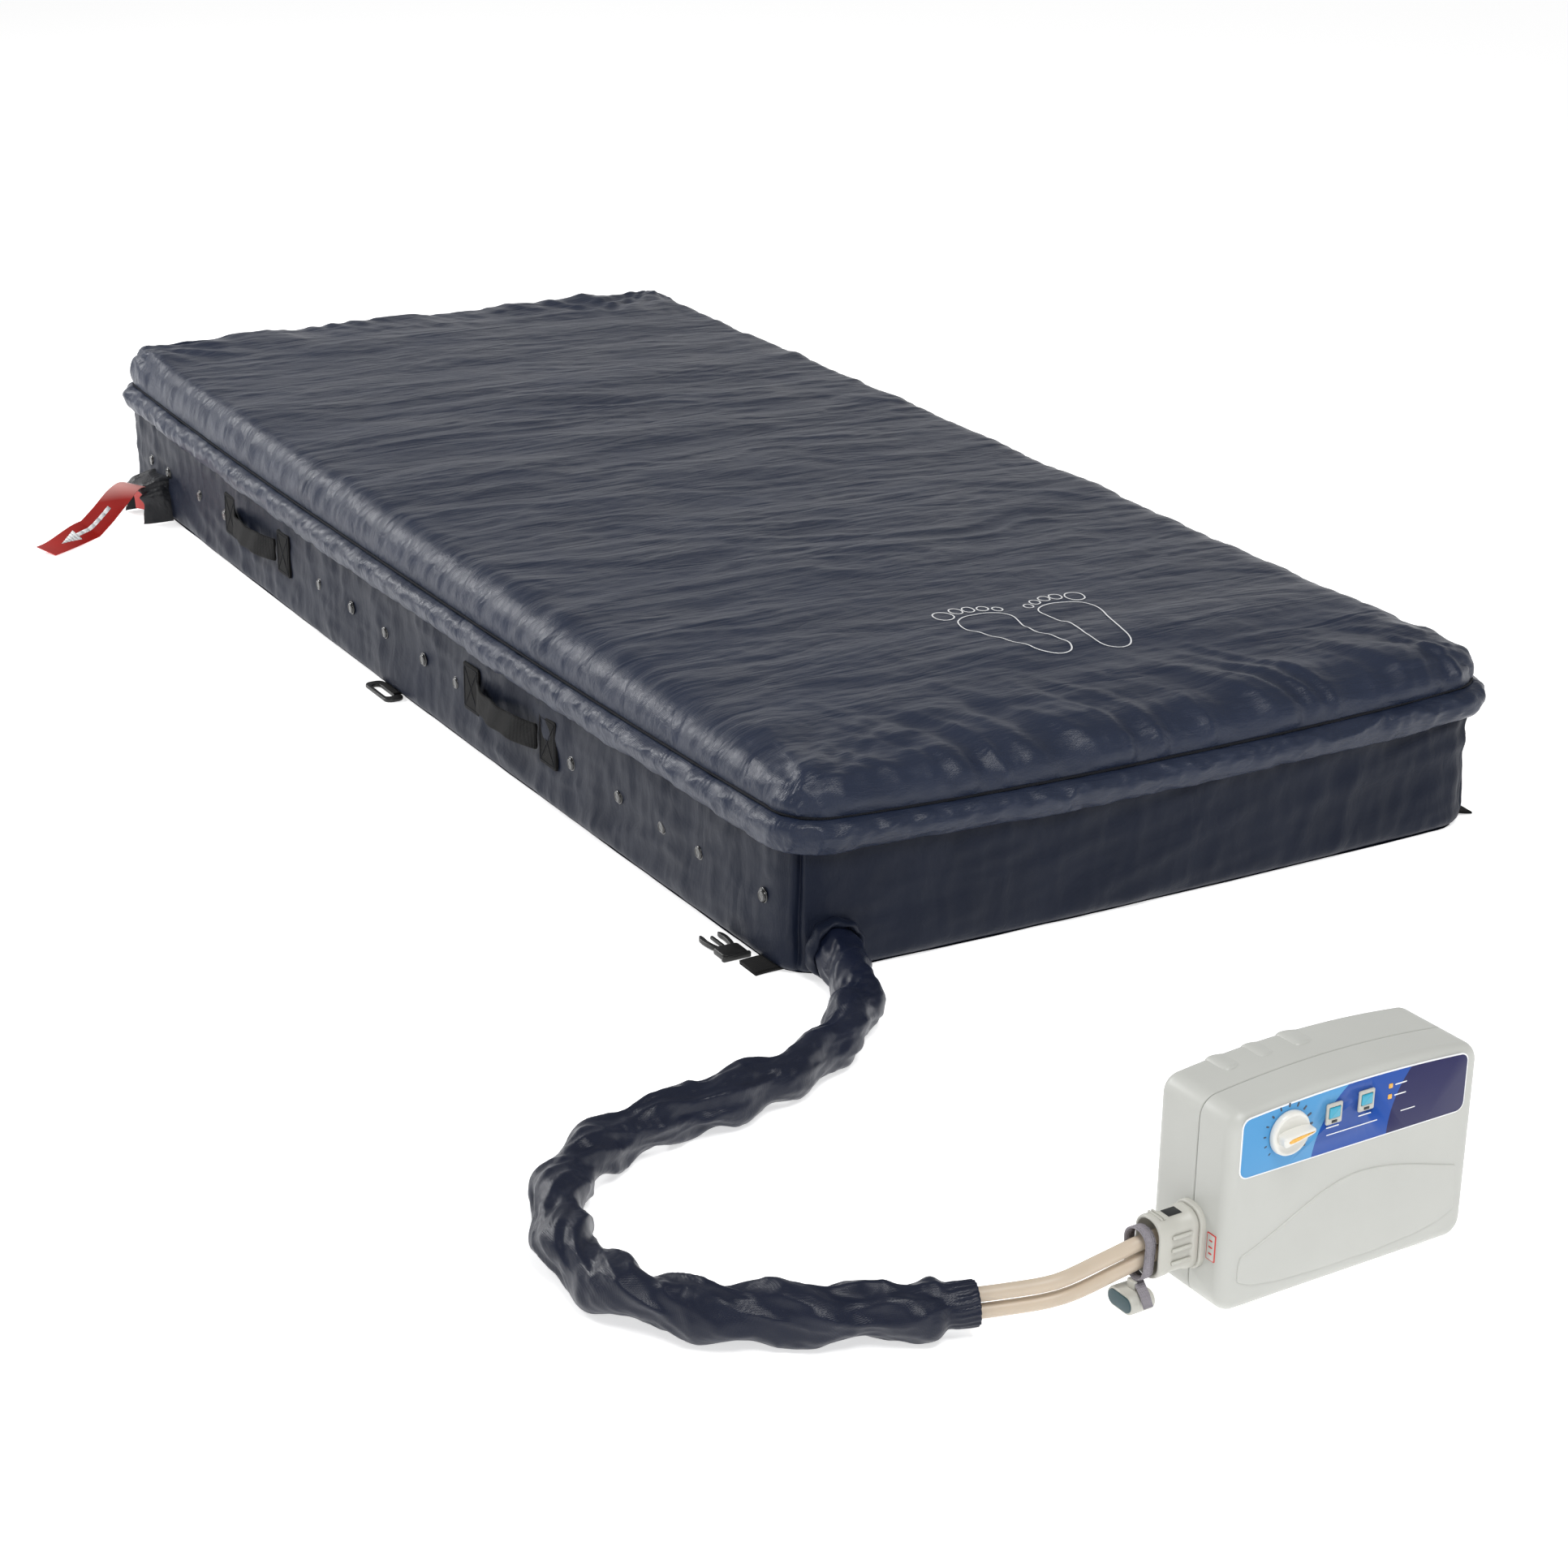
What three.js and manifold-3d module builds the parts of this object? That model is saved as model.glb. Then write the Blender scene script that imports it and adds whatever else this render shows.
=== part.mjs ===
// Alternating-pressure mattress: a zipped nylon cover around sixteen air cells on a foam
// base, joined by a sleeved pair of air hoses to its compressor pump.
// Millimetres, +Z up. The origin is the middle of the mattress's underside. +X is the
// patient's left when lying face up, +Y points to the head end, and the pump stands at
// the foot end on the -Y side.

import * as THREE from 'three';
import { mergeVertices } from 'three/addons/utils/BufferGeometryUtils.js';
import Module from 'manifold-3d';

const wasm = await Module();
wasm.setup();

// ---------------------------------------------------------------- driving dimensions

const GAP = 0.3;                 // clearance between parts that touch

const MATTRESS_WIDTH = 914;
const MATTRESS_LENGTH = 2032;
const CORNER_RADIUS = 45;
const SIDE_BULGE = 10;           // how far a long side bows out at mid length
const END_BULGE = 8;             // how far an end bows out at mid width
const COVER_THICKNESS = 2;
const ZIP_Z = 150;               // the two covers meet here
const SEAM_Z = 176;              // stitched edge of the top panel
const TOP_Z = 222;
const TOP_EDGE_ROUND = 40;

const FOAM_TOP_Z = 75;
const CELL_COUNT = 16;
const CELL_PITCH = 124;
const CELL_LENGTH = 868;
const CELL_HEIGHT = 141;

const TAPE_LOW_Z = 66;
const TAPE_HIGH_Z = 84;
const TAPE_OUT = 1.6;
const STUD_Z = 75;
const STUD_RADIUS = 7;
const STUD_YS = [909, 832, 692, 585, 222, 112, 1, -119, -217, -527, -642, -743, -824, -956];

const HANDLE_YS = [452, -368];
const HANDLE_SPAN = 206;         // outer edge to outer edge of the two sewn patches
const HANDLE_PATCH = 44;
const HANDLE_HEIGHT = 60;
const HANDLE_Z = 83;             // height of the handles' middle line
const GRIP_HEIGHT = 33;
const GRIP_BOW = 13;
const GRIP_THICKNESS = 3;

const SLEEVE_OUTER = 25;
const SLEEVE_INNER = 21;
const HOSE_RADIUS = 6.5;
const HOSE_OFFSET = 8;

const PUMP_CORNER = [-478, -1754];  // front left corner of the pump's footprint
const PUMP_YAW = THREE.MathUtils.degToRad(2);
const PUMP_WIDTH = 273;
const PUMP_DEPTH = 96;
const PUMP_HEIGHT = 198;
const PUMP_ARCH = 7;             // rise of the top face from its ends to its middle
const PUMP_WALL = 3;
const PARTING_Y = 42;            // front shell depth
const FOOT_HEIGHT = 4;
const OUTLET_Z = 65;             // height of the air outlet on the pump's left side

// ---------------------------------------------------------------- materials

function material(colour, roughness, metalness = 0) {
  return new THREE.MeshStandardMaterial({ color: colour, roughness, metalness });
}

const NAVY = material(0x2b313f, 0.45);
const DARK_NAVY = material(0x1e222e, 0.5);
const BLACK_WEBBING = material(0x1c1b19, 0.8);
const BLACK_PLASTIC = material(0x151515, 0.35);
const PVC_CELL = material(0x4f6f9a, 0.4);
const FOAM = material(0xd9d3b8, 0.9);
const HOSE_BEIGE = material(0xb9aa97, 0.45);
const GREY_PLASTIC = material(0xb5b5ad, 0.4);
const GREY_WEBBING = material(0x8f8c90, 0.85);
const PUMP_GREY = material(0xc4c5c0, 0.4);
const PANEL_BLUE = material(0x2a5aa8, 0.3);
const TEAL = material(0x2c9db8, 0.35);
const AMBER = material(0xe0b84a, 0.3);
const RED_TAG = material(0xc0302a, 0.4);
const STEEL = material(0x9a9da0, 0.35, 1);
const BOARD_GREEN = material(0x1f5a36, 0.5);
const RUBBER = material(0x2a2a2a, 0.85);

// ---------------------------------------------------------------- joining and cutting

function toSolid(geometry) {
  const bare = geometry.clone();
  bare.deleteAttribute('normal');
  bare.deleteAttribute('uv');
  const merged = mergeVertices(bare, 1e-4);
  return new wasm.Manifold(new wasm.Mesh({
    numProp: 3,
    vertProperties: new Float32Array(merged.attributes.position.array),
    triVerts: new Uint32Array(merged.index.array),
  }));
}

function toGeometry(solid) {
  const mesh = solid.getMesh();
  const geometry = new THREE.BufferGeometry();
  geometry.setAttribute('position', new THREE.BufferAttribute(mesh.vertProperties, 3));
  geometry.setIndex(new THREE.BufferAttribute(mesh.triVerts, 1));
  geometry.computeVertexNormals();
  return geometry;
}

function cut(geometry, ...tools) {
  let solid = toSolid(geometry);
  for (const tool of tools) {
    solid = solid.subtract(toSolid(tool));
  }
  return toGeometry(solid);
}

function join(...geometries) {
  let solid = toSolid(geometries[0]);
  for (const geometry of geometries.slice(1)) {
    solid = solid.add(toSolid(geometry));
  }
  return toGeometry(solid);
}

function common(first, second) {
  return toGeometry(toSolid(first).intersect(toSolid(second)));
}

// ---------------------------------------------------------------- basic shapes

// Box given by its two opposite corners.
function box(low, high) {
  const size = high.map((value, i) => value - low[i]);
  const middle = high.map((value, i) => (value + low[i]) / 2);
  return new THREE.BoxGeometry(...size).translate(...middle);
}

// Cylinder along one world axis, from `from` to `to` on that axis.
function rod(axis, radius, from, to, [a, b], sides = 12) {
  const geometry = new THREE.CylinderGeometry(radius, radius, to - from, sides);
  const middle = (from + to) / 2;
  if (axis === 'x') {
    return geometry.rotateZ(Math.PI / 2).translate(middle, a, b);
  }
  if (axis === 'z') {
    return geometry.rotateX(Math.PI / 2).translate(a, b, middle);
  }
  return geometry.translate(a, middle, b);
}

function roundedRectangle(width, height, radius) {
  const x = width / 2;
  const y = height / 2;
  const shape = new THREE.Shape();
  shape.moveTo(x - radius, -y);
  shape.absarc(x - radius, -y + radius, radius, -Math.PI / 2, 0, false);
  shape.absarc(x - radius, y - radius, radius, 0, Math.PI / 2, false);
  shape.absarc(-x + radius, y - radius, radius, Math.PI / 2, Math.PI, false);
  shape.absarc(-x + radius, -y + radius, radius, Math.PI, Math.PI * 1.5, false);
  return shape;
}

function extrude(shape, depth, options = {}) {
  return new THREE.ExtrudeGeometry(shape, {
    depth, bevelEnabled: false, curveSegments: 3, steps: 1, ...options,
  });
}

// Rounded rectangle in the XZ plane, extruded along +Y from y0 to y1.
function plateXZ(width, height, radius, y0, y1, [x, z]) {
  return extrude(roundedRectangle(width, height, radius), y1 - y0)
    .rotateX(Math.PI / 2)
    .translate(x, y1, z);
}

// Rounded rectangle in the YZ plane (width along Y), extruded along +X from x0 to x1.
function plateYZ(width, height, radius, x0, x1, [y, z]) {
  return extrude(roundedRectangle(height, width, radius), x1 - x0)
    .rotateY(Math.PI / 2)
    .translate(x0, y, z);
}

// ---------------------------------------------------------------- mattress outline

// Plan of the mattress, `out` millimetres outside the cover's own wall.
function coverOutline(out) {
  const x = MATTRESS_WIDTH / 2 + out;
  const y = MATTRESS_LENGTH / 2 + out;
  const r = CORNER_RADIUS + out;
  const shape = new THREE.Shape();
  shape.moveTo(-x + r, -y);
  shape.quadraticCurveTo(0, -y - 2 * END_BULGE, x - r, -y);
  shape.absarc(x - r, -y + r, r, -Math.PI / 2, 0, false);
  shape.quadraticCurveTo(x + 2 * SIDE_BULGE, 0, x, y - r);
  shape.absarc(x - r, y - r, r, 0, Math.PI / 2, false);
  shape.quadraticCurveTo(0, y + 2 * END_BULGE, -x + r, y);
  shape.absarc(-x + r, y - r, r, Math.PI / 2, Math.PI, false);
  shape.quadraticCurveTo(-x - 2 * SIDE_BULGE, 0, -x, -y + r);
  shape.absarc(-x + r, -y + r, r, Math.PI, Math.PI * 1.5, false);
  return shape;
}

function slab(out, lowZ, highZ) {
  return extrude(coverOutline(out), highZ - lowZ, { curveSegments: 4 }).translate(0, 0, lowZ);
}

// Ring that follows the cover's wall.
function band(innerOut, outerOut, lowZ, highZ) {
  return cut(slab(outerOut, lowZ, highZ), slab(innerOut, lowZ - 1, highZ + 1));
}

// Distance of the bowed long side from the centre line, at a given y.
function wallX(y) {
  const half = MATTRESS_LENGTH / 2 - CORNER_RADIUS;
  return MATTRESS_WIDTH / 2 + SIDE_BULGE * (1 - (y / half) ** 2);
}

// ---------------------------------------------------------------- scene graph helpers

const mattress = new THREE.Group();
const pump = new THREE.Group();
pump.position.set(PUMP_CORNER[0], PUMP_CORNER[1], 0);
pump.rotation.z = PUMP_YAW;
mattress.add(pump);

function place(group, name, geometry, surface) {
  const mesh = new THREE.Mesh(geometry, surface);
  mesh.name = name;
  group.add(mesh);
  return mesh;
}

// ---------------------------------------------------------------- covers and filling

function addCovers() {
  const tray = cut(
    slab(0, 0, ZIP_Z),
    slab(-COVER_THICKNESS, COVER_THICKNESS, ZIP_Z + 1),
    rod('y', SLEEVE_INNER, -MATTRESS_LENGTH / 2 - 20, -MATTRESS_LENGTH / 2 + 30, SLEEVE_EXIT_XZ),
  );
  place(mattress, 'base_cover', tray, DARK_NAVY);

  const dome = (out, lowZ, highZ, round) => {
    const inset = extrude(coverOutline(out - round), highZ - lowZ - 2 * round, {
      curveSegments: 4, bevelEnabled: true, bevelSegments: 3, bevelSize: round, bevelThickness: round,
    });
    return inset.translate(0, 0, lowZ + round);
  };
  const outside = dome(0, ZIP_Z - 2 * TOP_EDGE_ROUND, TOP_Z, TOP_EDGE_ROUND);
  const inside = dome(-COVER_THICKNESS, ZIP_Z - 2 * TOP_EDGE_ROUND, TOP_Z - COVER_THICKNESS,
    TOP_EDGE_ROUND - COVER_THICKNESS);
  const below = box([-600, -1200, 0], [600, 1200, ZIP_Z + GAP]);
  place(mattress, 'top_cover', cut(outside, inside, below), NAVY);

  const flap = cut(
    slab(16, SEAM_Z - 38, SEAM_Z),
    slab(9, SEAM_Z - 40, SEAM_Z - 7),
    slab(GAP, SEAM_Z - 10, SEAM_Z + 1),
  );
  place(mattress, 'cover_flap', flap, NAVY);
  place(mattress, 'zip_tape', band(GAP, 2, ZIP_Z - 6, ZIP_Z + 8), BLACK_WEBBING);
}

function addZipSlider() {
  const y = 330;
  const face = wallX(0) + 2.4;
  const slider = join(
    box([face, y - 8, ZIP_Z - 5], [face + 3.2, y + 8, ZIP_Z + 6]),
    box([face + 0.4, y - 4, ZIP_Z - 26], [face + 2.4, y + 4, ZIP_Z - 4]),
  );
  place(mattress, 'zip_slider', slider, STEEL);
}

function addFilling() {
  const notch = box([-460, -1040, 0], [-350, -960, 70]);
  const foam = cut(slab(-COVER_THICKNESS - 1, COVER_THICKNESS + GAP, FOAM_TOP_Z), notch);
  place(mattress, 'foam_base', foam, FOAM);

  const cellSection = new THREE.Shape();
  cellSection.absellipse(0, 0, CELL_PITCH / 2 - 2.5, CELL_HEIGHT / 2 - 2, 0, Math.PI * 2, false);
  for (let i = 0; i < CELL_COUNT; i += 1) {
    const y = (i - (CELL_COUNT - 1) / 2) * CELL_PITCH;
    const cell = extrude(cellSection, CELL_LENGTH - 24, {
      curveSegments: 6, bevelEnabled: true, bevelSegments: 1, bevelSize: 2, bevelThickness: 12,
    });
    cell.rotateZ(Math.PI / 2).rotateY(Math.PI / 2);
    cell.translate(-CELL_LENGTH / 2 + 12, y, FOAM_TOP_Z + GAP + CELL_HEIGHT / 2);
    place(mattress, `air_cell_${String(i + 1).padStart(2, '0')}`, cell, PVC_CELL);
  }

  const manifoldX = -CELL_LENGTH / 2 - 11;
  place(mattress, 'air_manifold_a', rod('y', 4, -930, 930, [manifoldX, 88], 8), HOSE_BEIGE);
  place(mattress, 'air_manifold_b', rod('y', 4, -930, 930, [manifoldX, 102], 8), HOSE_BEIGE);
}

// ---------------------------------------------------------------- studs, handles, straps

// Reinforcing tape on one long side with its row of press studs and the sewn patches
// of the carry handles. `side` is -1 on the left and 1 on the right.
function addSideTape(side, name) {
  const acrossWall = (y, inner, outer) => (
    [wallX(y) + inner, wallX(y) + outer].map((x) => x * side).sort((a, b) => a - b));
  const [windowLow, windowHigh] = [420, 500].map((x) => x * side).sort((a, b) => a - b);
  const strip = common(
    band(GAP, TAPE_OUT, TAPE_LOW_Z - 5, TAPE_HIGH_Z + 5),
    box([windowLow, -975, TAPE_LOW_Z], [windowHigh, 975, TAPE_HIGH_Z]),
  );
  const studs = STUD_YS.map((y) => (
    rod('x', STUD_RADIUS, ...acrossWall(y, 0.8, TAPE_OUT + 3), [y, STUD_Z], 8)));
  const patches = HANDLE_YS.flatMap((middle) => [-1, 1].map((end) => {
    const y = middle + end * (HANDLE_SPAN - HANDLE_PATCH) / 2;
    const [low, high] = acrossWall(y, 0.9, TAPE_OUT + 1);
    return box([low, y - HANDLE_PATCH / 2, HANDLE_Z - HANDLE_HEIGHT / 2],
      [high, y + HANDLE_PATCH / 2, HANDLE_Z + HANDLE_HEIGHT / 2]);
  }));
  place(mattress, name, join(strip, ...studs, ...patches), BLACK_PLASTIC);
}

// Webbing grip that bows out from the wall between its two sewn patches.
function addHandleGrip(side, middle, name) {
  const half = HANDLE_SPAN / 2 - HANDLE_PATCH / 2;
  const root = wallX(middle) + TAPE_OUT + 1 + 1.2;
  const strip = new THREE.Shape();
  strip.moveTo(0, -half);
  strip.bezierCurveTo(GRIP_BOW * 1.3, -half * 0.5, GRIP_BOW * 1.3, half * 0.5, 0, half);
  strip.lineTo(GRIP_THICKNESS, half);
  strip.bezierCurveTo(GRIP_BOW * 1.3 + GRIP_THICKNESS, half * 0.5,
    GRIP_BOW * 1.3 + GRIP_THICKNESS, -half * 0.5, GRIP_THICKNESS, -half);
  const grip = extrude(strip, GRIP_HEIGHT, { curveSegments: 8 });
  if (side < 0) {
    grip.rotateZ(Math.PI);
  }
  grip.translate(side * root, middle, HANDLE_Z - GRIP_HEIGHT / 2);
  place(mattress, name, grip, BLACK_WEBBING);
}

function addStrapHardware() {
  const tabY = -968;
  const tab = extrude(roundedRectangle(36, 56, 12), 3.5);
  tab.translate(-wallX(tabY + 28) - GAP - 18, tabY, 0.2);
  place(mattress, 'strap_foot_left', tab, BLACK_WEBBING);

  // Male half of a side-release buckle, its two prongs towards the head end.
  const buckle = new THREE.Shape();
  buckle.moveTo(-13, 0);
  buckle.lineTo(13, 0);
  buckle.lineTo(13, 34);
  buckle.lineTo(16, 46);
  buckle.lineTo(10, 62);
  buckle.lineTo(7, 34);
  buckle.lineTo(-7, 34);
  buckle.lineTo(-10, 62);
  buckle.lineTo(-16, 46);
  buckle.lineTo(-13, 34);
  const slot = new THREE.Path();
  slot.moveTo(-9, 6);
  slot.lineTo(-9, 14);
  slot.lineTo(9, 14);
  slot.lineTo(9, 6);
  buckle.holes.push(slot);
  const prongs = extrude(buckle, 7).translate(-wallX(-900) - 21, -939, 0.2);
  place(mattress, 'buckle_foot_left', prongs, BLACK_PLASTIC);

  for (const [name, side] of [['strap_loop_left', -1], ['strap_loop_right', 1]]) {
    const loop = roundedRectangle(26, 76, 9);
    const hole = new THREE.Path();
    hole.moveTo(-3, -19);
    hole.lineTo(-3, 19);
    hole.lineTo(6, 19);
    hole.lineTo(6, -19);
    loop.holes.push(hole);
    const ring = extrude(loop, 3);
    if (side > 0) {
      ring.rotateZ(Math.PI);
    }
    place(mattress, name, ring.translate(side * (wallX(0) + GAP + 13), -18, 0.2), BLACK_PLASTIC);
  }
}

// ---------------------------------------------------------------- quick-deflate valve

const CPR_Y = 868;

function addQuickDeflate() {
  const wall = -wallX(CPR_Y - 42) - GAP;
  const hood = cut(
    box([wall - 42, CPR_Y - 42, 8], [wall, CPR_Y + 42, 64]),
    box([wall - 43, CPR_Y - 39, 7], [wall + 1, CPR_Y + 39, 61]),
  );
  place(mattress, 'cpr_hood', hood, BLACK_WEBBING);

  const body = join(
    box([wall - 10, CPR_Y - 32, 12], [wall - GAP, CPR_Y + 32, 48]),
    rod('x', 9, wall - 16, wall - 9, [CPR_Y - 15, 30], 10),
    rod('x', 9, wall - 16, wall - 9, [CPR_Y + 15, 30], 10),
  );
  const bores = [-15, 15].map((dy) => rod('x', 6.4, wall - 17, wall - 5, [CPR_Y + dy, 30], 10));
  place(mattress, 'cpr_valve_body', cut(body, ...bores), GREY_PLASTIC);

  const plug = join(
    box([wall - 20, CPR_Y - 26, 20], [wall - 16 - GAP, CPR_Y + 26, 40]),
    ...[-15, 15].map((dy) => rod('x', 6, wall - 17, wall - 6, [CPR_Y + dy, 30], 10)),
  );
  place(mattress, 'cpr_plug', plug, RED_TAG);

  // The tag leaves the plug, climbs over a crest and comes down to the floor.
  const crest = new THREE.SplineCurve([
    new THREE.Vector2(0, 12), new THREE.Vector2(4, 34), new THREE.Vector2(16, 53),
    new THREE.Vector2(36, 57), new THREE.Vector2(64, 47), new THREE.Vector2(108, 25),
    new THREE.Vector2(150, 9), new THREE.Vector2(200, 4), new THREE.Vector2(238, 3),
  ]);
  const upper = crest.getPoints(20);
  const lower = upper.map((point, i) => {
    const along = crest.getTangent(i / 20);
    return new THREE.Vector2(point.x + along.y * 1.4, point.y - along.x * 1.4);
  });
  const profile = new THREE.Shape([...upper, ...lower.reverse()]);
  const tag = extrude(profile, 36).translate(0, 0, -18);
  tag.rotateX(Math.PI / 2);
  tag.rotateZ(Math.PI + THREE.MathUtils.degToRad(25));
  tag.translate(wall - 28.4, CPR_Y, 0);
  place(mattress, 'cpr_tag', tag, RED_TAG);
}

// ---------------------------------------------------------------- hoses

const SLEEVE_EXIT_XZ = [-412, 32];

// Middle line of the hose bundle, from the cover's foot wall to the pump connector.
const HOSE_ROUTE = [
  [-412, -1020, 32], [-413, -1036, 32], [-425, -1076, 28], [-455, -1136, 27],
  [-505, -1190, 27], [-567, -1226, 27], [-650, -1249, 27], [-745, -1263, 27],
  [-824, -1289, 27], [-883, -1344, 27], [-914, -1427, 27], [-908, -1505, 27],
  [-868, -1565, 27], [-812, -1606, 27], [-753, -1635, 27], [-696, -1657, 27],
  [-640, -1674, 27], [-593, -1688, 31], [-556, -1704, 50], [-527, -1713, 63],
  [-505, -1713, 65],
].map((point) => new THREE.Vector3(...point));
const HOSE_STEPS = 44;
const SLEEVE_STEPS = 38;

// The first part of another curve, by length.
class LeadingPart extends THREE.Curve {
  constructor(whole, fraction) {
    super();
    this.whole = whole;
    this.fraction = fraction;
  }

  getPoint(t, target = new THREE.Vector3()) {
    return this.whole.getPointAt(t * this.fraction, target);
  }
}

function ringSection(radius, sides, x = 0) {
  const points = [];
  for (let i = 0; i < sides; i += 1) {
    const angle = (i / sides) * Math.PI * 2;
    points.push(new THREE.Vector2(x + radius * Math.cos(angle), radius * Math.sin(angle)));
  }
  return points;
}

function addHoses() {
  const route = new THREE.CatmullRomCurve3(HOSE_ROUTE, false, 'centripetal');
  route.arcLengthDivisions = 2000;
  const sleeveRoute = new LeadingPart(route, SLEEVE_STEPS / HOSE_STEPS);
  sleeveRoute.arcLengthDivisions = 2000;

  const sleeve = new THREE.Shape(ringSection(SLEEVE_OUTER, 10));
  sleeve.holes.push(new THREE.Path(ringSection(SLEEVE_INNER, 10)));
  place(mattress, 'hose_sleeve',
    extrude(sleeve, 1, { steps: SLEEVE_STEPS, extrudePath: sleeveRoute }), DARK_NAVY);

  for (const [name, offset] of [['air_hose_a', HOSE_OFFSET], ['air_hose_b', -HOSE_OFFSET]]) {
    const section = new THREE.Shape(ringSection(HOSE_RADIUS, 8, offset));
    place(mattress, name,
      extrude(section, 1, { steps: HOSE_STEPS, extrudePath: route }), HOSE_BEIGE);
  }

  const [x, z] = SLEEVE_EXIT_XZ;
  const wallY = -MATTRESS_LENGTH / 2;
  const collar = cut(
    rod('y', SLEEVE_OUTER + 6.5, wallY - 16, wallY - 1.5, [x, z], 14),
    rod('y', SLEEVE_OUTER + 3.5, wallY - 20, wallY, [x, z], 14),
  );
  place(mattress, 'sleeve_collar', collar, DARK_NAVY);
}

// Connector, its strap and the cap, in the pump's own axes, all outside the pump.
function addConnector() {
  const stadium = (width, height, x0, x1) => (
    plateYZ(width, height, width / 2 - 0.01, x0, x1, [PARTING_Y, OUTLET_Z]));
  const shell = join(
    cut(stadium(34, 56, -46, -5.6), stadium(27, 49, -47, -18)),
    ...[-HOSE_OFFSET, HOSE_OFFSET].map((dz) => (
      rod('x', 4.4, -7, 8, [PARTING_Y, OUTLET_Z + dz], 10))),
  );
  place(pump, 'hose_connector', shell, GREY_PLASTIC);

  const strap = cut(
    stadium(28, 48, -57, -48),
    stadium(24, 44, -58, -47),
  );
  strap.translate(0, 2, -4);
  place(pump, 'connector_strap', strap, GREY_WEBBING);

  const capY = PARTING_Y + 2;
  const cap = cut(
    join(
      plateYZ(34, 18, 8.9, -70, -46, [capY, 20]),
      box([-60, capY - 5, 28], [-56, capY + 5, 37]),
    ),
    plateYZ(28, 12, 5.9, -58, -45, [capY, 20]),
  );
  place(pump, 'transport_cap', cap, GREY_PLASTIC);
}

// ---------------------------------------------------------------- pump

function pumpOutline(inset) {
  const r = 18 - inset;
  const left = inset;
  const right = PUMP_WIDTH - inset;
  const bottom = FOOT_HEIGHT + inset;
  const shoulder = PUMP_HEIGHT - PUMP_ARCH - inset;
  const shape = new THREE.Shape();
  shape.moveTo(left + r, bottom);
  shape.lineTo(right - r, bottom);
  shape.absarc(right - r, bottom + r, r, -Math.PI / 2, 0, false);
  shape.lineTo(right, shoulder - r);
  shape.absarc(right - r, shoulder - r, r, 0, Math.PI / 2, false);
  shape.quadraticCurveTo(PUMP_WIDTH / 2, shoulder + 2 * PUMP_ARCH, left + r, shoulder);
  shape.absarc(left + r, shoulder - r, r, Math.PI / 2, Math.PI, false);
  shape.lineTo(left, bottom + r);
  shape.absarc(left + r, bottom + r, r, Math.PI, Math.PI * 1.5, false);
  return shape;
}

// Shell block from y0 to y1 with rounded edges at both ends; cut afterwards at the parting.
function pumpBlock(inset, y0, y1, round) {
  const block = extrude(pumpOutline(inset + round), y1 - y0 - 2 * round, {
    curveSegments: 3, bevelEnabled: true, bevelSegments: 2, bevelSize: round, bevelThickness: round,
  });
  return block.rotateX(Math.PI / 2).translate(0, y1 - round, 0);
}

const PANEL = { width: 248, height: 60, x: 134, z: 160 };
const KNOB = { x: 59, z: 163 };
const BUTTONS = [
  ['alarm_reset_button', 108, 168],
  ['static_button', 143, 171],
];
const LAMPS_X = 170;
const LAMPS_Z = [166, 176];
const FACE_BUTTON = [12, 10];

function addPumpShells() {
  const outside = pumpBlock(0, 0, PUMP_DEPTH, 11);
  const inside = pumpBlock(PUMP_WALL, PUMP_WALL, PUMP_DEPTH - PUMP_WALL, 8);
  const behind = box([-10, PARTING_Y, -10], [300, 120, 220]);
  const ahead = box([-10, -10, -10], [300, PARTING_Y + GAP, 220]);
  const port = plateYZ(30, 50, 14.9, -5, 15, [PARTING_Y, OUTLET_Z]);

  const openings = [
    plateXZ(PANEL.width, PANEL.height, 9, -2, 0.9, [PANEL.x, PANEL.z]),
    rod('y', 5, -2, 8, [KNOB.x, KNOB.z], 12),
    ...BUTTONS.map(([, x, z]) => plateXZ(13, 11, 2, -2, 8, [x, z])),
    box([LAMPS_X - 3, -2, LAMPS_Z[0] - 4], [LAMPS_X + 3, 8, LAMPS_Z[1] + 4]),
  ];
  place(pump, 'pump_front_shell', cut(outside, inside, behind, port, ...openings), PUMP_GREY);

  const inletHole = box([200, 80, 26], [234, 100, 54]);
  const grips = [];
  for (let i = 0; i < 3; i += 1) {
    const ramp = new THREE.Shape();
    ramp.moveTo(0, 0);
    ramp.lineTo(0, 9);
    ramp.lineTo(8, 11);
    ramp.lineTo(34, 0);
    grips.push(extrude(ramp, 24).rotateX(Math.PI / 2)
      .translate(46 + i * 38, PUMP_DEPTH - 6, PUMP_HEIGHT - PUMP_ARCH - 2 + i * 1.5));
  }
  const rear = join(cut(outside, inside, ahead, port, inletHole), ...grips);
  place(pump, 'pump_rear_shell', cut(rear, inside), PUMP_GREY);
}

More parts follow.
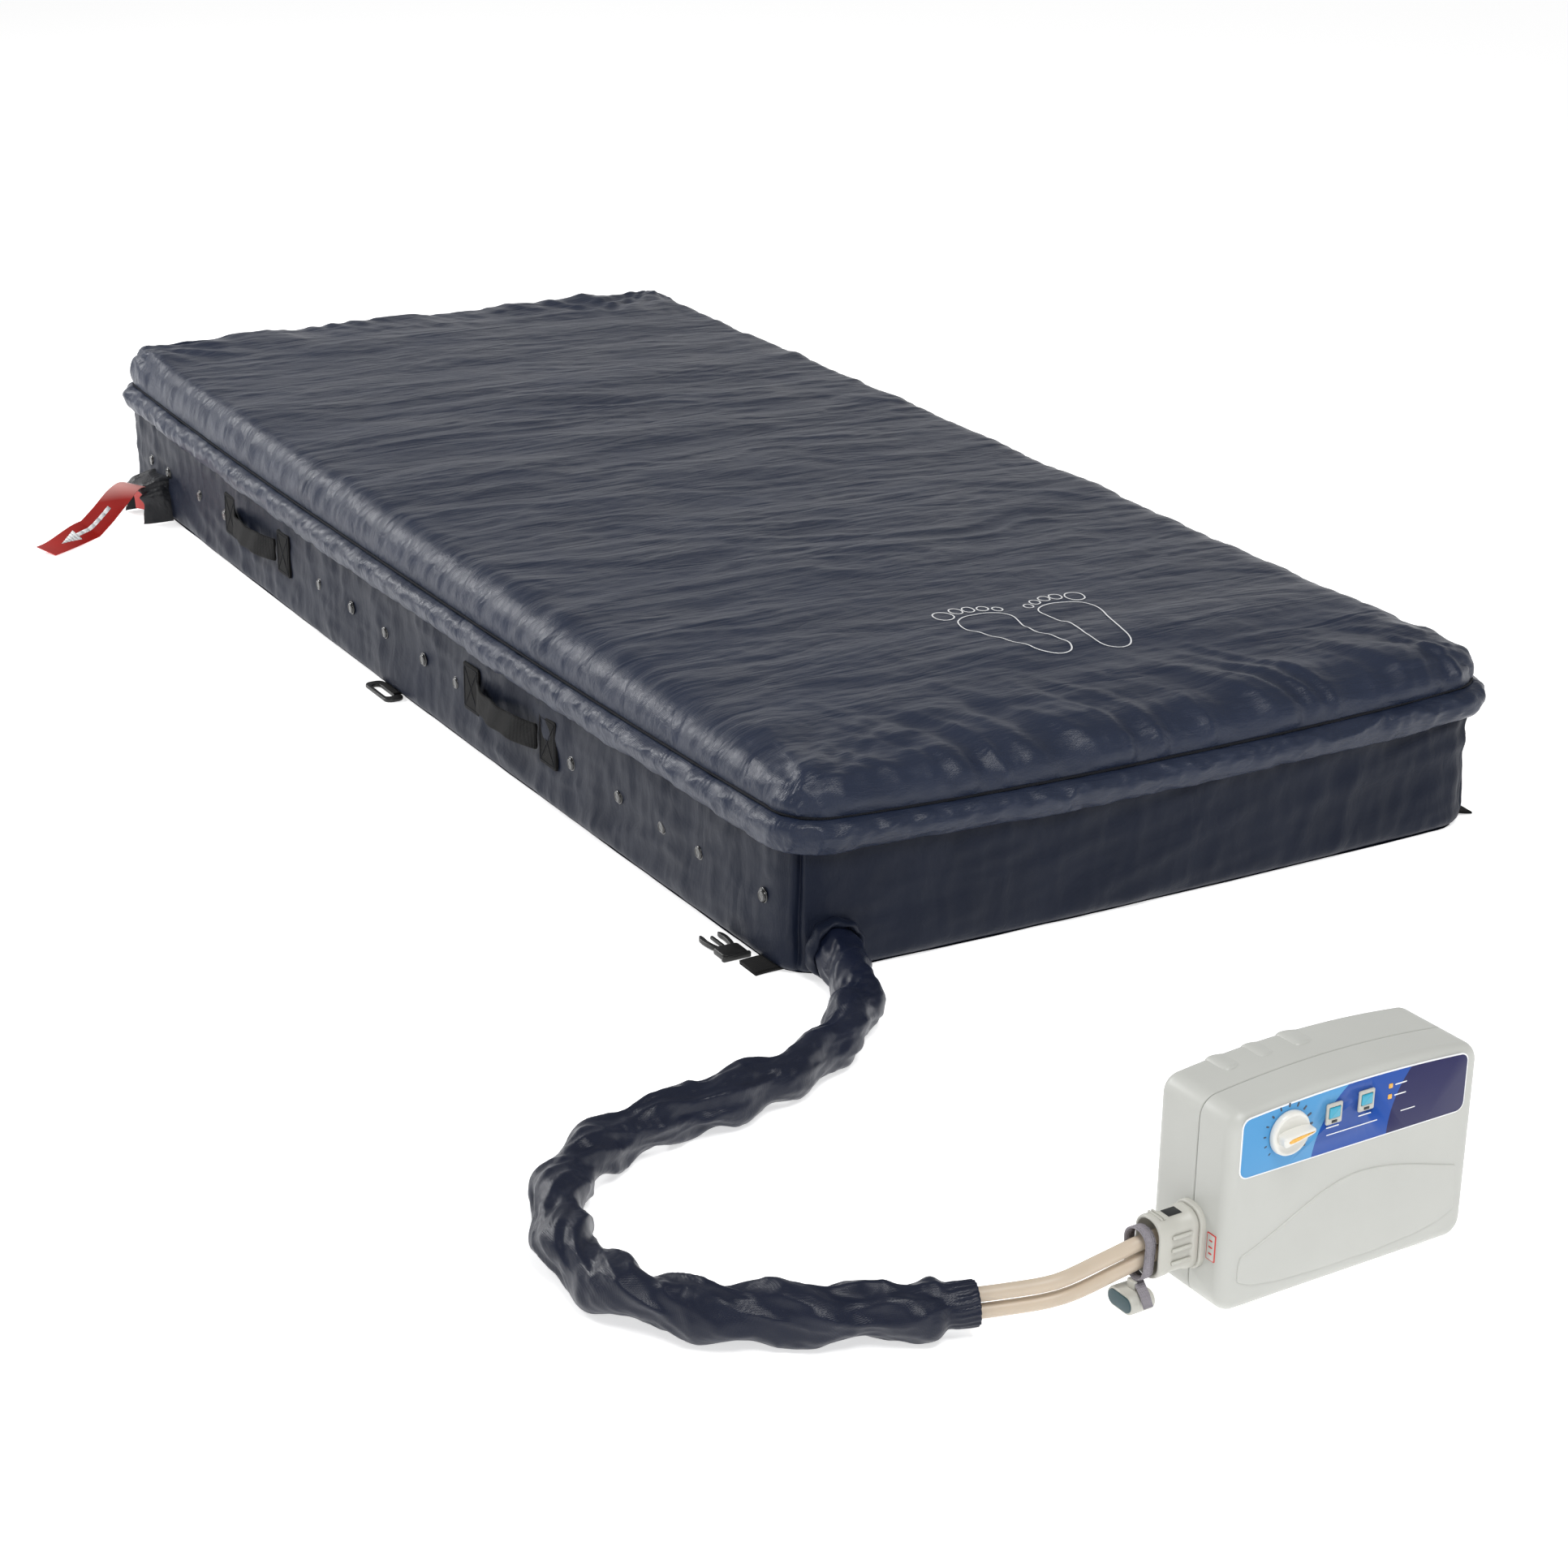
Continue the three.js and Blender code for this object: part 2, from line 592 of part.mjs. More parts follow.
function addPumpFace() {
  const holes = [
    rod('y', 5, -2, 8, [KNOB.x, KNOB.z], 12),
    ...BUTTONS.map(([, x, z]) => plateXZ(13, 11, 2, -2, 8, [x, z])),
    box([LAMPS_X - 3, -2, LAMPS_Z[0] - 4], [LAMPS_X + 3, 8, LAMPS_Z[1] + 4]),
  ];
  const panel = plateXZ(PANEL.width - 0.6, PANEL.height - 0.6, 8.7, 0.1, 0.6, [PANEL.x, PANEL.z]);
  place(pump, 'control_panel', cut(panel, ...holes), PANEL_BLUE);

  const knob = join(
    rod('y', 20, -5, -GAP, [KNOB.x, KNOB.z], 16),
    rod('y', 16, -8, -4, [KNOB.x, KNOB.z], 16),
    plateXZ(8, 31, 3, -16, -7, [KNOB.x, KNOB.z]),
    rod('y', 4.5, -1, 14, [KNOB.x, KNOB.z], 10),
  );
  place(pump, 'pressure_knob', knob, GREY_PLASTIC);

  for (const [name, x, z] of BUTTONS) {
    const button = join(
      plateXZ(FACE_BUTTON[0], FACE_BUTTON[1], 1.6, -2.8, 8, [x, z]),
      plateXZ(16, 14, 2, 4 + PUMP_WALL - 1, 9, [x, z]),
    );
    place(pump, name, button, TEAL);
  }

  const lens = join(
    box([LAMPS_X - 2.6, 4, LAMPS_Z[0] - 3.6], [LAMPS_X + 2.6, 9, LAMPS_Z[1] + 3.6]),
    ...LAMPS_Z.map((z) => box([LAMPS_X - 2, -0.2, z - 2], [LAMPS_X + 2, 5, z + 2])),
  );
  place(pump, 'indicator_lens', lens, AMBER);
}

function addPumpInside() {
  const compressor = join(
    box([70, 24, 12], [190, 72, 62]),
    rod('x', 19, 60, 200, [48, 66], 14),
    rod('z', 5, 60, 96, [90, 48], 8),
  );
  place(pump, 'compressor', compressor, STEEL);

  const valve = join(
    rod('y', 20, 40, 66, [50, 115], 16),
    rod('y', 8, 66, 80, [50, 115], 10),
  );
  place(pump, 'rotary_valve', valve, GREY_PLASTIC);

  place(pump, 'circuit_board', box([82, 17, 128], [214, 18.6, 182]), BOARD_GREEN);

  const socket = cut(
    join(
      plateYZ(38, 60, 18.9, -5.3, -GAP, [PARTING_Y, OUTLET_Z]),
      plateYZ(29, 49, 14.4, -1, 18, [PARTING_Y, OUTLET_Z]),
    ),
    ...[-HOSE_OFFSET, HOSE_OFFSET].map((dz) => (
      rod('x', 5, -6, 19, [PARTING_Y, OUTLET_Z + dz], 10))),
  );
  place(pump, 'outlet_socket', socket, GREY_PLASTIC);

  const inlet = cut(
    join(
      plateXZ(50, 34, 4, PUMP_DEPTH + GAP, PUMP_DEPTH + 3, [217, 40]),
      box([202, 81, 28], [232, PUMP_DEPTH + 1, 52]),
    ),
    box([204, 83, 30], [230, PUMP_DEPTH + 4, 50]),
  );
  place(pump, 'mains_inlet', inlet, BLACK_PLASTIC);

  const feet = [[40, 24], [233, 24], [40, 72], [233, 72]].map(([x, y]) => (
    rod('z', 9, 0, FOOT_HEIGHT - GAP, [x, y], 12)));
  const web = cut(
    box([38, 22, 1.5], [235, 74, FOOT_HEIGHT - GAP]),
    box([44, 28, 0], [229, 68, 5]),
  );
  place(pump, 'rubber_feet', join(web, ...feet), RUBBER);
}

// Bed hooks: they hang folded on the pump's back and swing out and up to 90 degrees.
const HOOK_PIVOT_Z = 158;

function addHook(name, x) {
  const back = PUMP_DEPTH + GAP;
  const profile = new THREE.Shape();
  profile.moveTo(back, HOOK_PIVOT_Z - 92);
  profile.lineTo(back + 26, HOOK_PIVOT_Z - 92);
  profile.lineTo(back + 26, HOOK_PIVOT_Z - 84);
  profile.lineTo(back + 7, HOOK_PIVOT_Z - 84);
  profile.lineTo(back + 7, HOOK_PIVOT_Z);
  profile.lineTo(back, HOOK_PIVOT_Z);
  const arm = extrude(profile, 26)
    .rotateX(Math.PI / 2)
    .rotateZ(Math.PI / 2)
    .translate(x - 13, 0, 0);
  const barrel = rod('x', 5, x - 17, x + 17, [back + 5, HOOK_PIVOT_Z], 12);
  place(pump, name, join(arm, barrel), GREY_PLASTIC);
}

// ---------------------------------------------------------------- assembly

addCovers();
addZipSlider();
addFilling();
addSideTape(-1, 'side_tape_left');
addSideTape(1, 'side_tape_right');
addHandleGrip(-1, HANDLE_YS[0], 'carry_handle_head_left');
addHandleGrip(-1, HANDLE_YS[1], 'carry_handle_foot_left');
addHandleGrip(1, HANDLE_YS[0], 'carry_handle_head_right');
addHandleGrip(1, HANDLE_YS[1], 'carry_handle_foot_right');
addStrapHardware();
addQuickDeflate();
addHoses();
addConnector();
addPumpShells();
addPumpFace();
addPumpInside();
addHook('hook_left', 62);
addHook('hook_right', 178);

export default mattress;
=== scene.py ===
"""Pressure relief mattress with its sleeved hoses and pump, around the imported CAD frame.

Metres, +Z up. The mattress lies along Y with its foot end at -Y. The pump has axes of its
own, turned by PUMP_YAW: x along its width, y into its depth, z up.
"""

import math

import bmesh
import bpy
import numpy as np
from mathutils import Matrix, Vector
from mathutils.bvhtree import BVHTree


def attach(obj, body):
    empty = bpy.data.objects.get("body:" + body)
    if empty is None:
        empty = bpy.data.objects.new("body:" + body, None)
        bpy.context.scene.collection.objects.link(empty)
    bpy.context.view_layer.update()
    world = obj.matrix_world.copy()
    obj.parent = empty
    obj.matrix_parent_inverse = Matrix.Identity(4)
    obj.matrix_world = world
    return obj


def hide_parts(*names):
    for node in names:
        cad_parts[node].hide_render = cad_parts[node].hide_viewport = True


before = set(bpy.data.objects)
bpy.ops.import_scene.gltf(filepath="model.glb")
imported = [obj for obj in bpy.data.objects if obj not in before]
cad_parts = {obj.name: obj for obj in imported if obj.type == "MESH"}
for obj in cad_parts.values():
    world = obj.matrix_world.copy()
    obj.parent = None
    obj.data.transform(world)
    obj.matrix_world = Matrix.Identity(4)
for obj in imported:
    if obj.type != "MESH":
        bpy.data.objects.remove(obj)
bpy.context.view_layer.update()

ROOT = "root_mattress"

# ------------------------------------------------------------------ driving dimensions

HALF_WIDTH = 0.457
HALF_LENGTH = 1.016
CORNER_RADIUS = 0.045
SIDE_BULGE = 0.01
END_BULGE = 0.008
SEAM_Z = 0.176
SEAM_SAG = 0.009
FLAP_HEIGHT = 0.038
WALL_TOP = 0.166
TOP_Z = 0.223
TOP_SLOPE = 0.006
TOP_CROWN = 0.006
EDGE_INSET = 0.058
CELL_COUNT = 16
CELL_PITCH = 0.124

PUMP_CORNER = Vector((-0.478, -1.754, 0))
PUMP_YAW = math.radians(2)
PUMP_WIDTH = 0.273
PUMP_DEPTH = 0.096
PUMP_HEIGHT = 0.198
PUMP_ARCH = 0.007
PUMP_CORNER_RADIUS = 0.018
PARTING_Y = 0.042
FOOT_HEIGHT = 0.004
OUTLET = (0.042, 0.065)
KNOB_AT = (0.059, 0.163)
BUTTONS = [("alarm_reset_button", 0.108, 0.168), ("static_button", 0.143, 0.171)]
LAMP_X, LAMP_ZS = 0.17, (0.166, 0.176)
KNOB_REST = math.radians(8)
PRINT_LEVELS = (-0.0005, -0.0008)
PUMP_MATRIX = Matrix.Translation(PUMP_CORNER) @ Matrix.Rotation(PUMP_YAW, 4, "Z")

HOSE_RADIUS = 0.0065
HOSE_OFFSET = 0.008
HOSE_STEPS = 44
SLEEVE_STEPS = 38
HOSE_ROUTE = [
    (-0.412, -1.02, 0.032), (-0.413, -1.036, 0.032), (-0.425, -1.076, 0.028),
    (-0.455, -1.136, 0.027), (-0.505, -1.19, 0.027), (-0.567, -1.226, 0.027),
    (-0.65, -1.249, 0.027), (-0.745, -1.263, 0.027), (-0.824, -1.289, 0.027),
    (-0.883, -1.344, 0.027), (-0.914, -1.427, 0.027), (-0.908, -1.505, 0.027),
    (-0.868, -1.565, 0.027), (-0.812, -1.606, 0.027), (-0.753, -1.635, 0.027),
    (-0.696, -1.657, 0.027), (-0.64, -1.674, 0.027), (-0.593, -1.688, 0.031),
    (-0.556, -1.704, 0.05), (-0.527, -1.713, 0.063), (-0.505, -1.713, 0.065),
]

STUD_YS = [0.909, 0.832, 0.692, 0.585, 0.222, 0.112, 0.001, -0.119, -0.217,
           -0.527, -0.642, -0.743, -0.824, -0.956]
STUD_Z = 0.075
HANDLES = [("head", 0.452), ("foot", -0.368)]
HANDLE_Z = 0.083
HANDLE_SPAN = 0.206
HANDLE_PATCH = 0.044
HANDLE_HEIGHT = 0.06
CPR_Y = 0.868
PLATE_EDGE = (0.0012, 0.0012, 3)
HOLD_LEVELS = 50

# ------------------------------------------------------------------ noise


def columns(*parts):
    """Numbers and arrays side by side, as the columns of one array."""
    return np.stack(np.broadcast_arrays(*parts), axis=1)


def circle(steps):
    return np.linspace(0, 2 * math.pi, steps, endpoint=False)


def _hash(cells, seed):
    """One repeatable number from 0 to 1 for each whole-number cell (n, 3)."""
    c = cells.astype(np.int64)
    h = c[:, 0] * 374761393 + c[:, 1] * 668265263 + c[:, 2] * 2147483647 + seed * 974634777
    h = (h ^ (h >> 13)) * 1274126177
    h = h ^ (h >> 16)
    return (h & 0xFFFFFF) / float(0xFFFFFF)


def smooth_noise(points, seed=0):
    """Value noise from -1 to 1 at points (n, 3), one feature a unit."""
    base = np.floor(points)
    f = points - base
    f = f * f * (3 - 2 * f)
    total = np.zeros(len(points))
    for dx in (0, 1):
        for dy in (0, 1):
            for dz in (0, 1):
                weight = (f[:, 0] if dx else 1 - f[:, 0])
                weight = weight * (f[:, 1] if dy else 1 - f[:, 1])
                weight = weight * (f[:, 2] if dz else 1 - f[:, 2])
                total += weight * _hash(base + np.array([dx, dy, dz]), seed)
    return 2 * total - 1


def fbm(points, octaves=3, seed=0, gain=0.5):
    total = np.zeros(len(points))
    size, scale = 1.0, 1.0
    for octave in range(octaves):
        total += size * smooth_noise(points * scale + 17.3 * octave, seed + octave)
        size *= gain
        scale *= 2.03
    return total


def ridges(points, octaves=3, seed=0, gain=0.5):
    """Sharp-crested noise from about 0 to 1, for creases in cloth."""
    total, size, scale, whole = np.zeros(len(points)), 1.0, 1.0, 0.0
    for octave in range(octaves):
        value = 1 - np.abs(smooth_noise(points * scale + 9.1 * octave, seed + octave))
        total += size * value ** 2
        whole += size
        size *= gain
        scale *= 2.1
    return total / whole


def smoothstep(a, b, x):
    t = np.clip((x - a) / (b - a), 0, 1)
    return t * t * (3 - 2 * t)


# ------------------------------------------------------------------ mesh building


def new_mesh(name, verts, faces, smooth=True):
    mesh = bpy.data.meshes.new(name)
    mesh.from_pydata([tuple(v) for v in verts], [], faces)
    mesh.update()
    if smooth:
        mesh.polygons.foreach_set("use_smooth", [True] * len(mesh.polygons))
    piece = bpy.data.objects.new(name, mesh)
    bpy.context.scene.collection.objects.link(piece)
    return piece


def grid_faces(rows, cols, wrap_cols=False, wrap_rows=False, flip=False):
    """Quads of a rows by cols grid of vertices stored row by row."""
    faces = []
    for i in range(rows if wrap_rows else rows - 1):
        for j in range(cols if wrap_cols else cols - 1):
            across, down = (j + 1) % cols, (i + 1) % rows
            quad = (i * cols + j, i * cols + across, down * cols + across, down * cols + j)
            faces.append(quad[::-1] if flip else quad)
    return faces


def loft(name, rings, cap_first=True, cap_last=True, wrap=False, smooth=True):
    """Closed rings of equal length, skinned in order; caps are single faces."""
    rings = [np.asarray(r, float) for r in rings]
    cols = len(rings[0])
    faces = grid_faces(len(rings), cols, wrap_cols=True, wrap_rows=wrap)
    if cap_first and not wrap:
        faces.append(tuple(range(cols))[::-1])
    if cap_last and not wrap:
        faces.append(tuple(range((len(rings) - 1) * cols, len(rings) * cols)))
    return new_mesh(name, np.concatenate(rings), faces, smooth)


def fix_normals(piece):
    """Turn every face of a closed piece outwards."""
    work = bmesh.new()
    work.from_mesh(piece.data)
    bmesh.ops.recalc_face_normals(work, faces=work.faces)
    work.to_mesh(piece.data)
    work.free()
    return piece


def joined(name, *pieces):
    """One object from several meshes."""
    verts, faces, indices, materials = [], [], [], []
    for piece in pieces:
        base = len(verts)
        verts += [piece.matrix_world @ v.co for v in piece.data.vertices]
        slots = list(piece.data.materials) or [None]
        materials += [m for m in slots if m not in materials]
        for poly in piece.data.polygons:
            faces.append(tuple(base + i for i in poly.vertices))
            indices.append(materials.index(slots[min(poly.material_index, len(slots) - 1)]))
        bpy.data.objects.remove(piece)
    whole = new_mesh(name, verts, faces)
    for material in materials:
        if material is not None:
            whole.data.materials.append(material)
    whole.data.polygons.foreach_set("material_index", indices)
    return whole


def paint(piece, material):
    piece.data.materials.clear()
    piece.data.materials.append(material)
    return piece


def finish_piece(piece, material, slot, body, *nodes):
    """Paint the piece, and say what it moves with and stands in for; the slot is not used."""
    paint(piece, material)
    if nodes:
        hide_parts(*nodes)
    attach(piece, body)
    return piece


def sharpen(piece, degrees=35):
    """Shade smooth except over edges sharper than the angle."""
    piece.data.set_sharp_from_angle(angle=math.radians(degrees))
    return piece


def rounded(width, height, radius, n=8, at_x=0.0, at_y=0.0):
    """Outline of a rounded rectangle about a point, anticlockwise, as (k, 2)."""
    x, y = width / 2, height / 2
    points = []
    for cx, cy, start in ((x, -y, -90), (x, y, 0), (-x, y, 90), (-x, -y, 180)):
        mx, my = cx - math.copysign(radius, cx), cy - math.copysign(radius, cy)
        points += arc_points(mx, my, radius, start, n)
    return np.array(points) + (at_x, at_y)


def arc_points(cx, cy, radius, start, steps):
    """Quarter of a circle, anticlockwise from `start` degrees."""
    angles = [math.radians(start + 90 * i / steps) for i in range(steps + 1)]
    return [(cx + radius * math.cos(a), cy + radius * math.sin(a)) for a in angles]


def resample(points, count, closed=True):
    """The polyline with `count` points at equal steps."""
    p = np.asarray(points, float)
    if closed:
        p = np.vstack([p, p[:1]])
    run = run_along(p)
    at = np.linspace(0, run[-1], count, endpoint=not closed)
    return columns(*(np.interp(at, run, values) for values in p.T))


def run_along(points):
    """Distance along a polyline at each of its points."""
    steps = np.linalg.norm(np.diff(points, axis=0), axis=1)
    return np.concatenate([[0], np.cumsum(steps)])


def in_pump(piece):
    piece.matrix_world = PUMP_MATRIX
    bpy.context.view_layer.update()
    return piece


# ------------------------------------------------------------------ materials


class Nodes:
    """A material's node tree with its Principled shader, and short ways to add to it."""

    def __init__(self, name, colour, roughness, metallic=0.0):
        self.material = bpy.data.materials.new(name)
        self.material.use_nodes = True
        self.tree = self.material.node_tree
        self.shader = self.tree.nodes["Principled BSDF"]
        self.set(Base_Color=(*colour, 1), Roughness=roughness, Metallic=metallic)
        self.place = self.add("ShaderNodeTexCoord").outputs["Object"]

    def feed(self, socket, value):
        """Link a socket to another one, or give it a value."""
        if isinstance(value, bpy.types.NodeSocket):
            self.tree.links.new(value, socket)
        else:
            socket.default_value = value

    def add(self, kind, **inputs):
        node = self.tree.nodes.new(kind)
        for key, value in inputs.items():
            self.feed(node.inputs[key.replace("_", " ")], value)
        return node

    def set(self, **inputs):
        for key, value in inputs.items():
            self.feed(self.shader.inputs[key.replace("_", " ")], value)

    def noise(self, scale, detail=3, roughness=0.55, vector=None, distortion=0.0):
        return self.add("ShaderNodeTexNoise", Scale=scale, Detail=detail, Roughness=roughness,
                        Distortion=distortion, Vector=vector or self.place).outputs["Fac"]

    def wave(self, direction, scale, distortion):
        node = self.add("ShaderNodeTexWave", Scale=scale, Distortion=distortion,
                        Vector=self.place)
        node.bands_direction = direction
        return node.outputs["Fac"]

    def stretched(self, scale):
        return self.add("ShaderNodeMapping", Scale=scale, Vector=self.place).outputs["Vector"]

    def axes(self):
        return self.add("ShaderNodeSeparateXYZ", Vector=self.place).outputs

    def math(self, operation, *values, clamp=False):
        node = self.add("ShaderNodeMath")
        node.operation, node.use_clamp = operation, clamp
        for socket, value in zip(node.inputs, values):
            self.feed(socket, value)
        return node.outputs[0]

    def mix(self, factor, a, b):
        node = self.add("ShaderNodeMix")
        node.data_type = "RGBA"
        for index, value in ((0, factor), (6, a), (7, b)):
            self.feed(node.inputs[index], (*value, 1) if isinstance(value, tuple) else value)
        return node.outputs[2]

    def clouded(self, cloud, colour, darkest, lightest):
        """Vary the base colour between two strengths of it."""
        self.set(Base_Color=self.mix(cloud, scaled(colour, darkest), scaled(colour, lightest)))

    def bump(self, *layers):
        """Layers of (height socket, distance in metres), stacked on each other."""
        normal = None
        for height, distance in layers:
            node = self.add("ShaderNodeBump", Distance=distance, Strength=1.0, Height=height)
            if normal:
                self.feed(node.inputs["Normal"], normal)
            normal = node.outputs["Normal"]
        self.set(Normal=normal)


def srgb(text):
    """Linear colour from a six-digit sRGB code."""
    parts = [int(text[i:i + 2], 16) / 255 for i in (0, 2, 4)]
    return tuple(p / 12.92 if p <= 0.04045 else ((p + 0.055) / 1.055) ** 2.4 for p in parts)


def scaled(colour, k):
    return tuple(min(1.0, c * k) for c in colour)


def weave(nodes, pitch):
    """Height of a plain weave of threads `pitch` apart, along all three axes."""
    x, y, z = (nodes.wave(axis, 1.0 / pitch / 3.14, 0.2) for axis in "XYZ")
    return nodes.math("ADD", nodes.math("ADD", x, y), z)


def nylon(name, colour, roughness=0.42, stretch=(1, 1, 1), crease=0.0006, gloss=0.34):
    """Shiny proofed nylon: fine weave, fine creases, uneven sheen."""
    nodes = Nodes(name, colour, roughness)
    vector = nodes.stretched(stretch)
    cloud = nodes.noise(9, 4, 0.6)
    nodes.clouded(cloud, colour, 0.78, 1.25)
    lines = nodes.noise(13, 4, 0.5, vector, 0.5)
    folds = nodes.math("ABSOLUTE", nodes.math("SUBTRACT", lines, 0.5))
    nodes.bump((weave(nodes, 0.0011), 0.00005),
               (nodes.noise(140, 3, 0.6, vector, 0.4), crease * 0.3),
               (nodes.noise(38, 5, 0.62, vector, 0.6), crease), (folds, crease * 7))
    nodes.set(Roughness=nodes.math("MULTIPLY_ADD", cloud, 0.16, roughness - 0.08),
              Sheen_Weight=0.02, Sheen_Roughness=0.4, Sheen_Tint=(0.62, 0.7, 0.9, 1),
              Specular_IOR_Level=gloss)
    return nodes.material


def webbing(name, colour, pitch=0.0016):
    """Dull woven tape with a slanting twill and stray fibres."""
    nodes = Nodes(name, colour, 0.78)
    nodes.clouded(nodes.noise(30, 3), colour, 0.7, 1.35)
    nodes.bump((nodes.noise(900, 2, 0.6), 0.0002), (weave(nodes, pitch), 0.00025),
               (nodes.wave("DIAGONAL", 1.0 / pitch / 4, 0.6), 0.0001))
    nodes.set(Sheen_Weight=0.04, Sheen_Roughness=0.5, Specular_IOR_Level=0.15)
    return nodes.material


def plastic(name, colour, roughness=0.4, grain=0.00004, coat=0.0, scale=1500):
    """Moulded plastic: spark-eroded grain, faint clouding, slightly worn gloss."""
    nodes = Nodes(name, colour, roughness)
    nodes.clouded(nodes.noise(14, 3), colour, 0.95, 1.04)
    smear = nodes.noise(45, 4, 0.6)
    nodes.bump((nodes.noise(scale, 2, 0.5), grain))
    nodes.set(Roughness=nodes.math("MULTIPLY_ADD", smear, 0.14, roughness - 0.07),
              Specular_IOR_Level=0.5)
    if coat:
        nodes.set(Coat_Weight=coat, Coat_Roughness=0.15)
    return nodes.material


def rubber_tube(name, colour):
    """Slightly see-through PVC."""
    nodes = Nodes(name, colour, 0.42)
    nodes.clouded(nodes.noise(22, 4), colour, 0.9, 1.08)
    nodes.bump((nodes.noise(400, 2), 0.00006))
    nodes.set(Subsurface_Weight=0.08, Subsurface_Radius=(0.006, 0.004, 0.002),
              Specular_IOR_Level=0.5)
    return nodes.material


def steel(name):
    """Brushed steel."""
    nodes = Nodes(name, (0.62, 0.63, 0.64), 0.32, 1.0)
    brushed = nodes.noise(60, 4, 0.6, nodes.stretched((40, 1, 1)))
    nodes.set(Roughness=nodes.math("MULTIPLY_ADD", brushed, 0.2, 0.24))
    nodes.bump((brushed, 0.00003))
    return nodes.material


TOP_NYLON = nylon("top_nylon", srgb("1f273a"), 0.36, (0.35, 1.6, 1.0), 0.0012)
WALL_NYLON = nylon("wall_nylon", srgb("131928"), 0.46, (1.0, 1.0, 0.45), 0.0007, 0.16)
SLEEVE_NYLON = nylon("sleeve_nylon", srgb("12182a"), 0.34, (1, 1, 1), 0.0005, 0.3)
SEAM_THREAD = webbing("seam_thread", srgb("14161d"), 0.0012)
BLACK_WEBBING = webbing("black_webbing", srgb("0c0c0d"))
GREY_WEBBING = webbing("grey_webbing", srgb("8a868c"), 0.002)
STUD_BLACK = plastic("stud_black", srgb("141414"), 0.22, 0.00001, coat=0.5)
BLACK_PLASTIC = plastic("black_plastic", srgb("161616"), 0.42, 0.00003)
HOSE_BEIGE = rubber_tube("hose_beige", srgb("c2b3a0"))
CONNECTOR_GREY = plastic("connector_grey", srgb("b9b8b0"), 0.42, 0.00003)
PUMP_GREY = plastic("pump_grey", srgb("b9bab5"), 0.4, 0.00005)
KNOB_WHITE = plastic("knob_white", srgb("dcdbd5"), 0.33, 0.00001, coat=0.2)
AMBER = plastic("amber", srgb("e0a83a"), 0.28, 0.00001, coat=0.4)
TEAL = plastic("teal", srgb("2f9dba"), 0.3, 0.00001, coat=0.4)
TEAL_DARK = plastic("teal_dark", srgb("2a464d"), 0.38, 0.00004)
# near-black for the back's screws, and painted shade: dark stand-ins for the shade in the parting
# gap, vent slots, button wells and slots and the latch slot
SCREW_BLACK_AND_SLOT_SHADE = plastic("screw_black_and_slot_shade", srgb("15181b"), 0.5)
WHITE_PRINT = plastic("white_print", srgb("e8e9ea"), 0.45, 0.00002)
GREY_PRINT = plastic("grey_print", srgb("3c4656"), 0.5, 0.00002)
RED_PRINT = plastic("red_print", srgb("c23a34"), 0.4, 0.00001)
FOOT_RUBBER = plastic("foot_rubber", srgb("232323"), 0.8, 0.0001, scale=700)
STEEL = steel("steel")


def red_ribbon():
    """Red PVC tag, paler towards its crest: a painted highlight where the tag arches highest."""
    nodes = Nodes("red_ribbon", srgb("c02a22"), 0.33)
    # painted highlight: the red turns pale pink with height, from about 43 mm up, over the tag's
    # crest
    crest = nodes.math("MULTIPLY_ADD", nodes.axes()["Z"], 60.0, -2.6, clamp=True)
    red = nodes.mix(nodes.noise(25, 3), srgb("9c1a14"), srgb("b8261f"))
    nodes.bump((nodes.noise(120, 3), 0.0001))
    nodes.set(Base_Color=nodes.mix(crest, red, srgb("d9a09a")), Coat_Weight=0.08,
              Coat_Roughness=0.3)
    return nodes.material

RED_TAG = red_ribbon()


def overlay_blues():
    """Printed overlay: light, mid and dark blue fields parted by two large arcs."""
    nodes = Nodes("overlay_blues", srgb("2a5aa8"), 0.34)
    axes = nodes.axes()

    def inside(cx, cz, radius):
        dx = nodes.math("SUBTRACT", axes["X"], cx)
        dz = nodes.math("SUBTRACT", axes["Z"], cz)
        square = nodes.math("ADD", nodes.math("MULTIPLY", dx, dx), nodes.math("MULTIPLY", dz, dz))
        return nodes.math("LESS_THAN", nodes.math("SQRT", square), radius)

    mid = nodes.mix(inside(0.1745, 0.118, 0.0885), srgb("4f93c6"), srgb("1d4a9c"))
    dark = nodes.mix(inside(0.262, 0.128, 0.0925), mid, srgb("1d1d4e"))
    nodes.bump((nodes.noise(1800, 2), 0.00003))
    nodes.set(Base_Color=dark, Specular_IOR_Level=0.25)
    return nodes.material

OVERLAY = overlay_blues()

# ------------------------------------------------------------------ camera and hose route


def add_camera():
    """The viewpoint: 30 degrees to the left of the foot end, looking 21.5 degrees down."""
    position = Vector((-1.9182, -3.4873, 1.3516))
    azimuth, elevation, roll = (math.radians(a) for a in (-30.36, 21.532, 0.8774))
    back = Vector((math.sin(azimuth) * math.cos(elevation),
                   -math.cos(azimuth) * math.cos(elevation), math.sin(elevation)))
    right = Vector((math.cos(azimuth), math.sin(azimuth), 0))
    up = back.cross(right)
    right, up = (right * math.cos(roll) + up * math.sin(roll),
                 up * math.cos(roll) - right * math.sin(roll))
    data = bpy.data.cameras.new("camera")
    data.sensor_width = 36
    data.lens = 71.04
    data.clip_end = 60
    camera = bpy.data.objects.new("camera", data)
    turn = Matrix((right, up, back)).transposed().to_4x4()
    camera.matrix_world = Matrix.Translation(position) @ turn
    bpy.context.scene.collection.objects.link(camera)
    bpy.context.scene.camera = camera


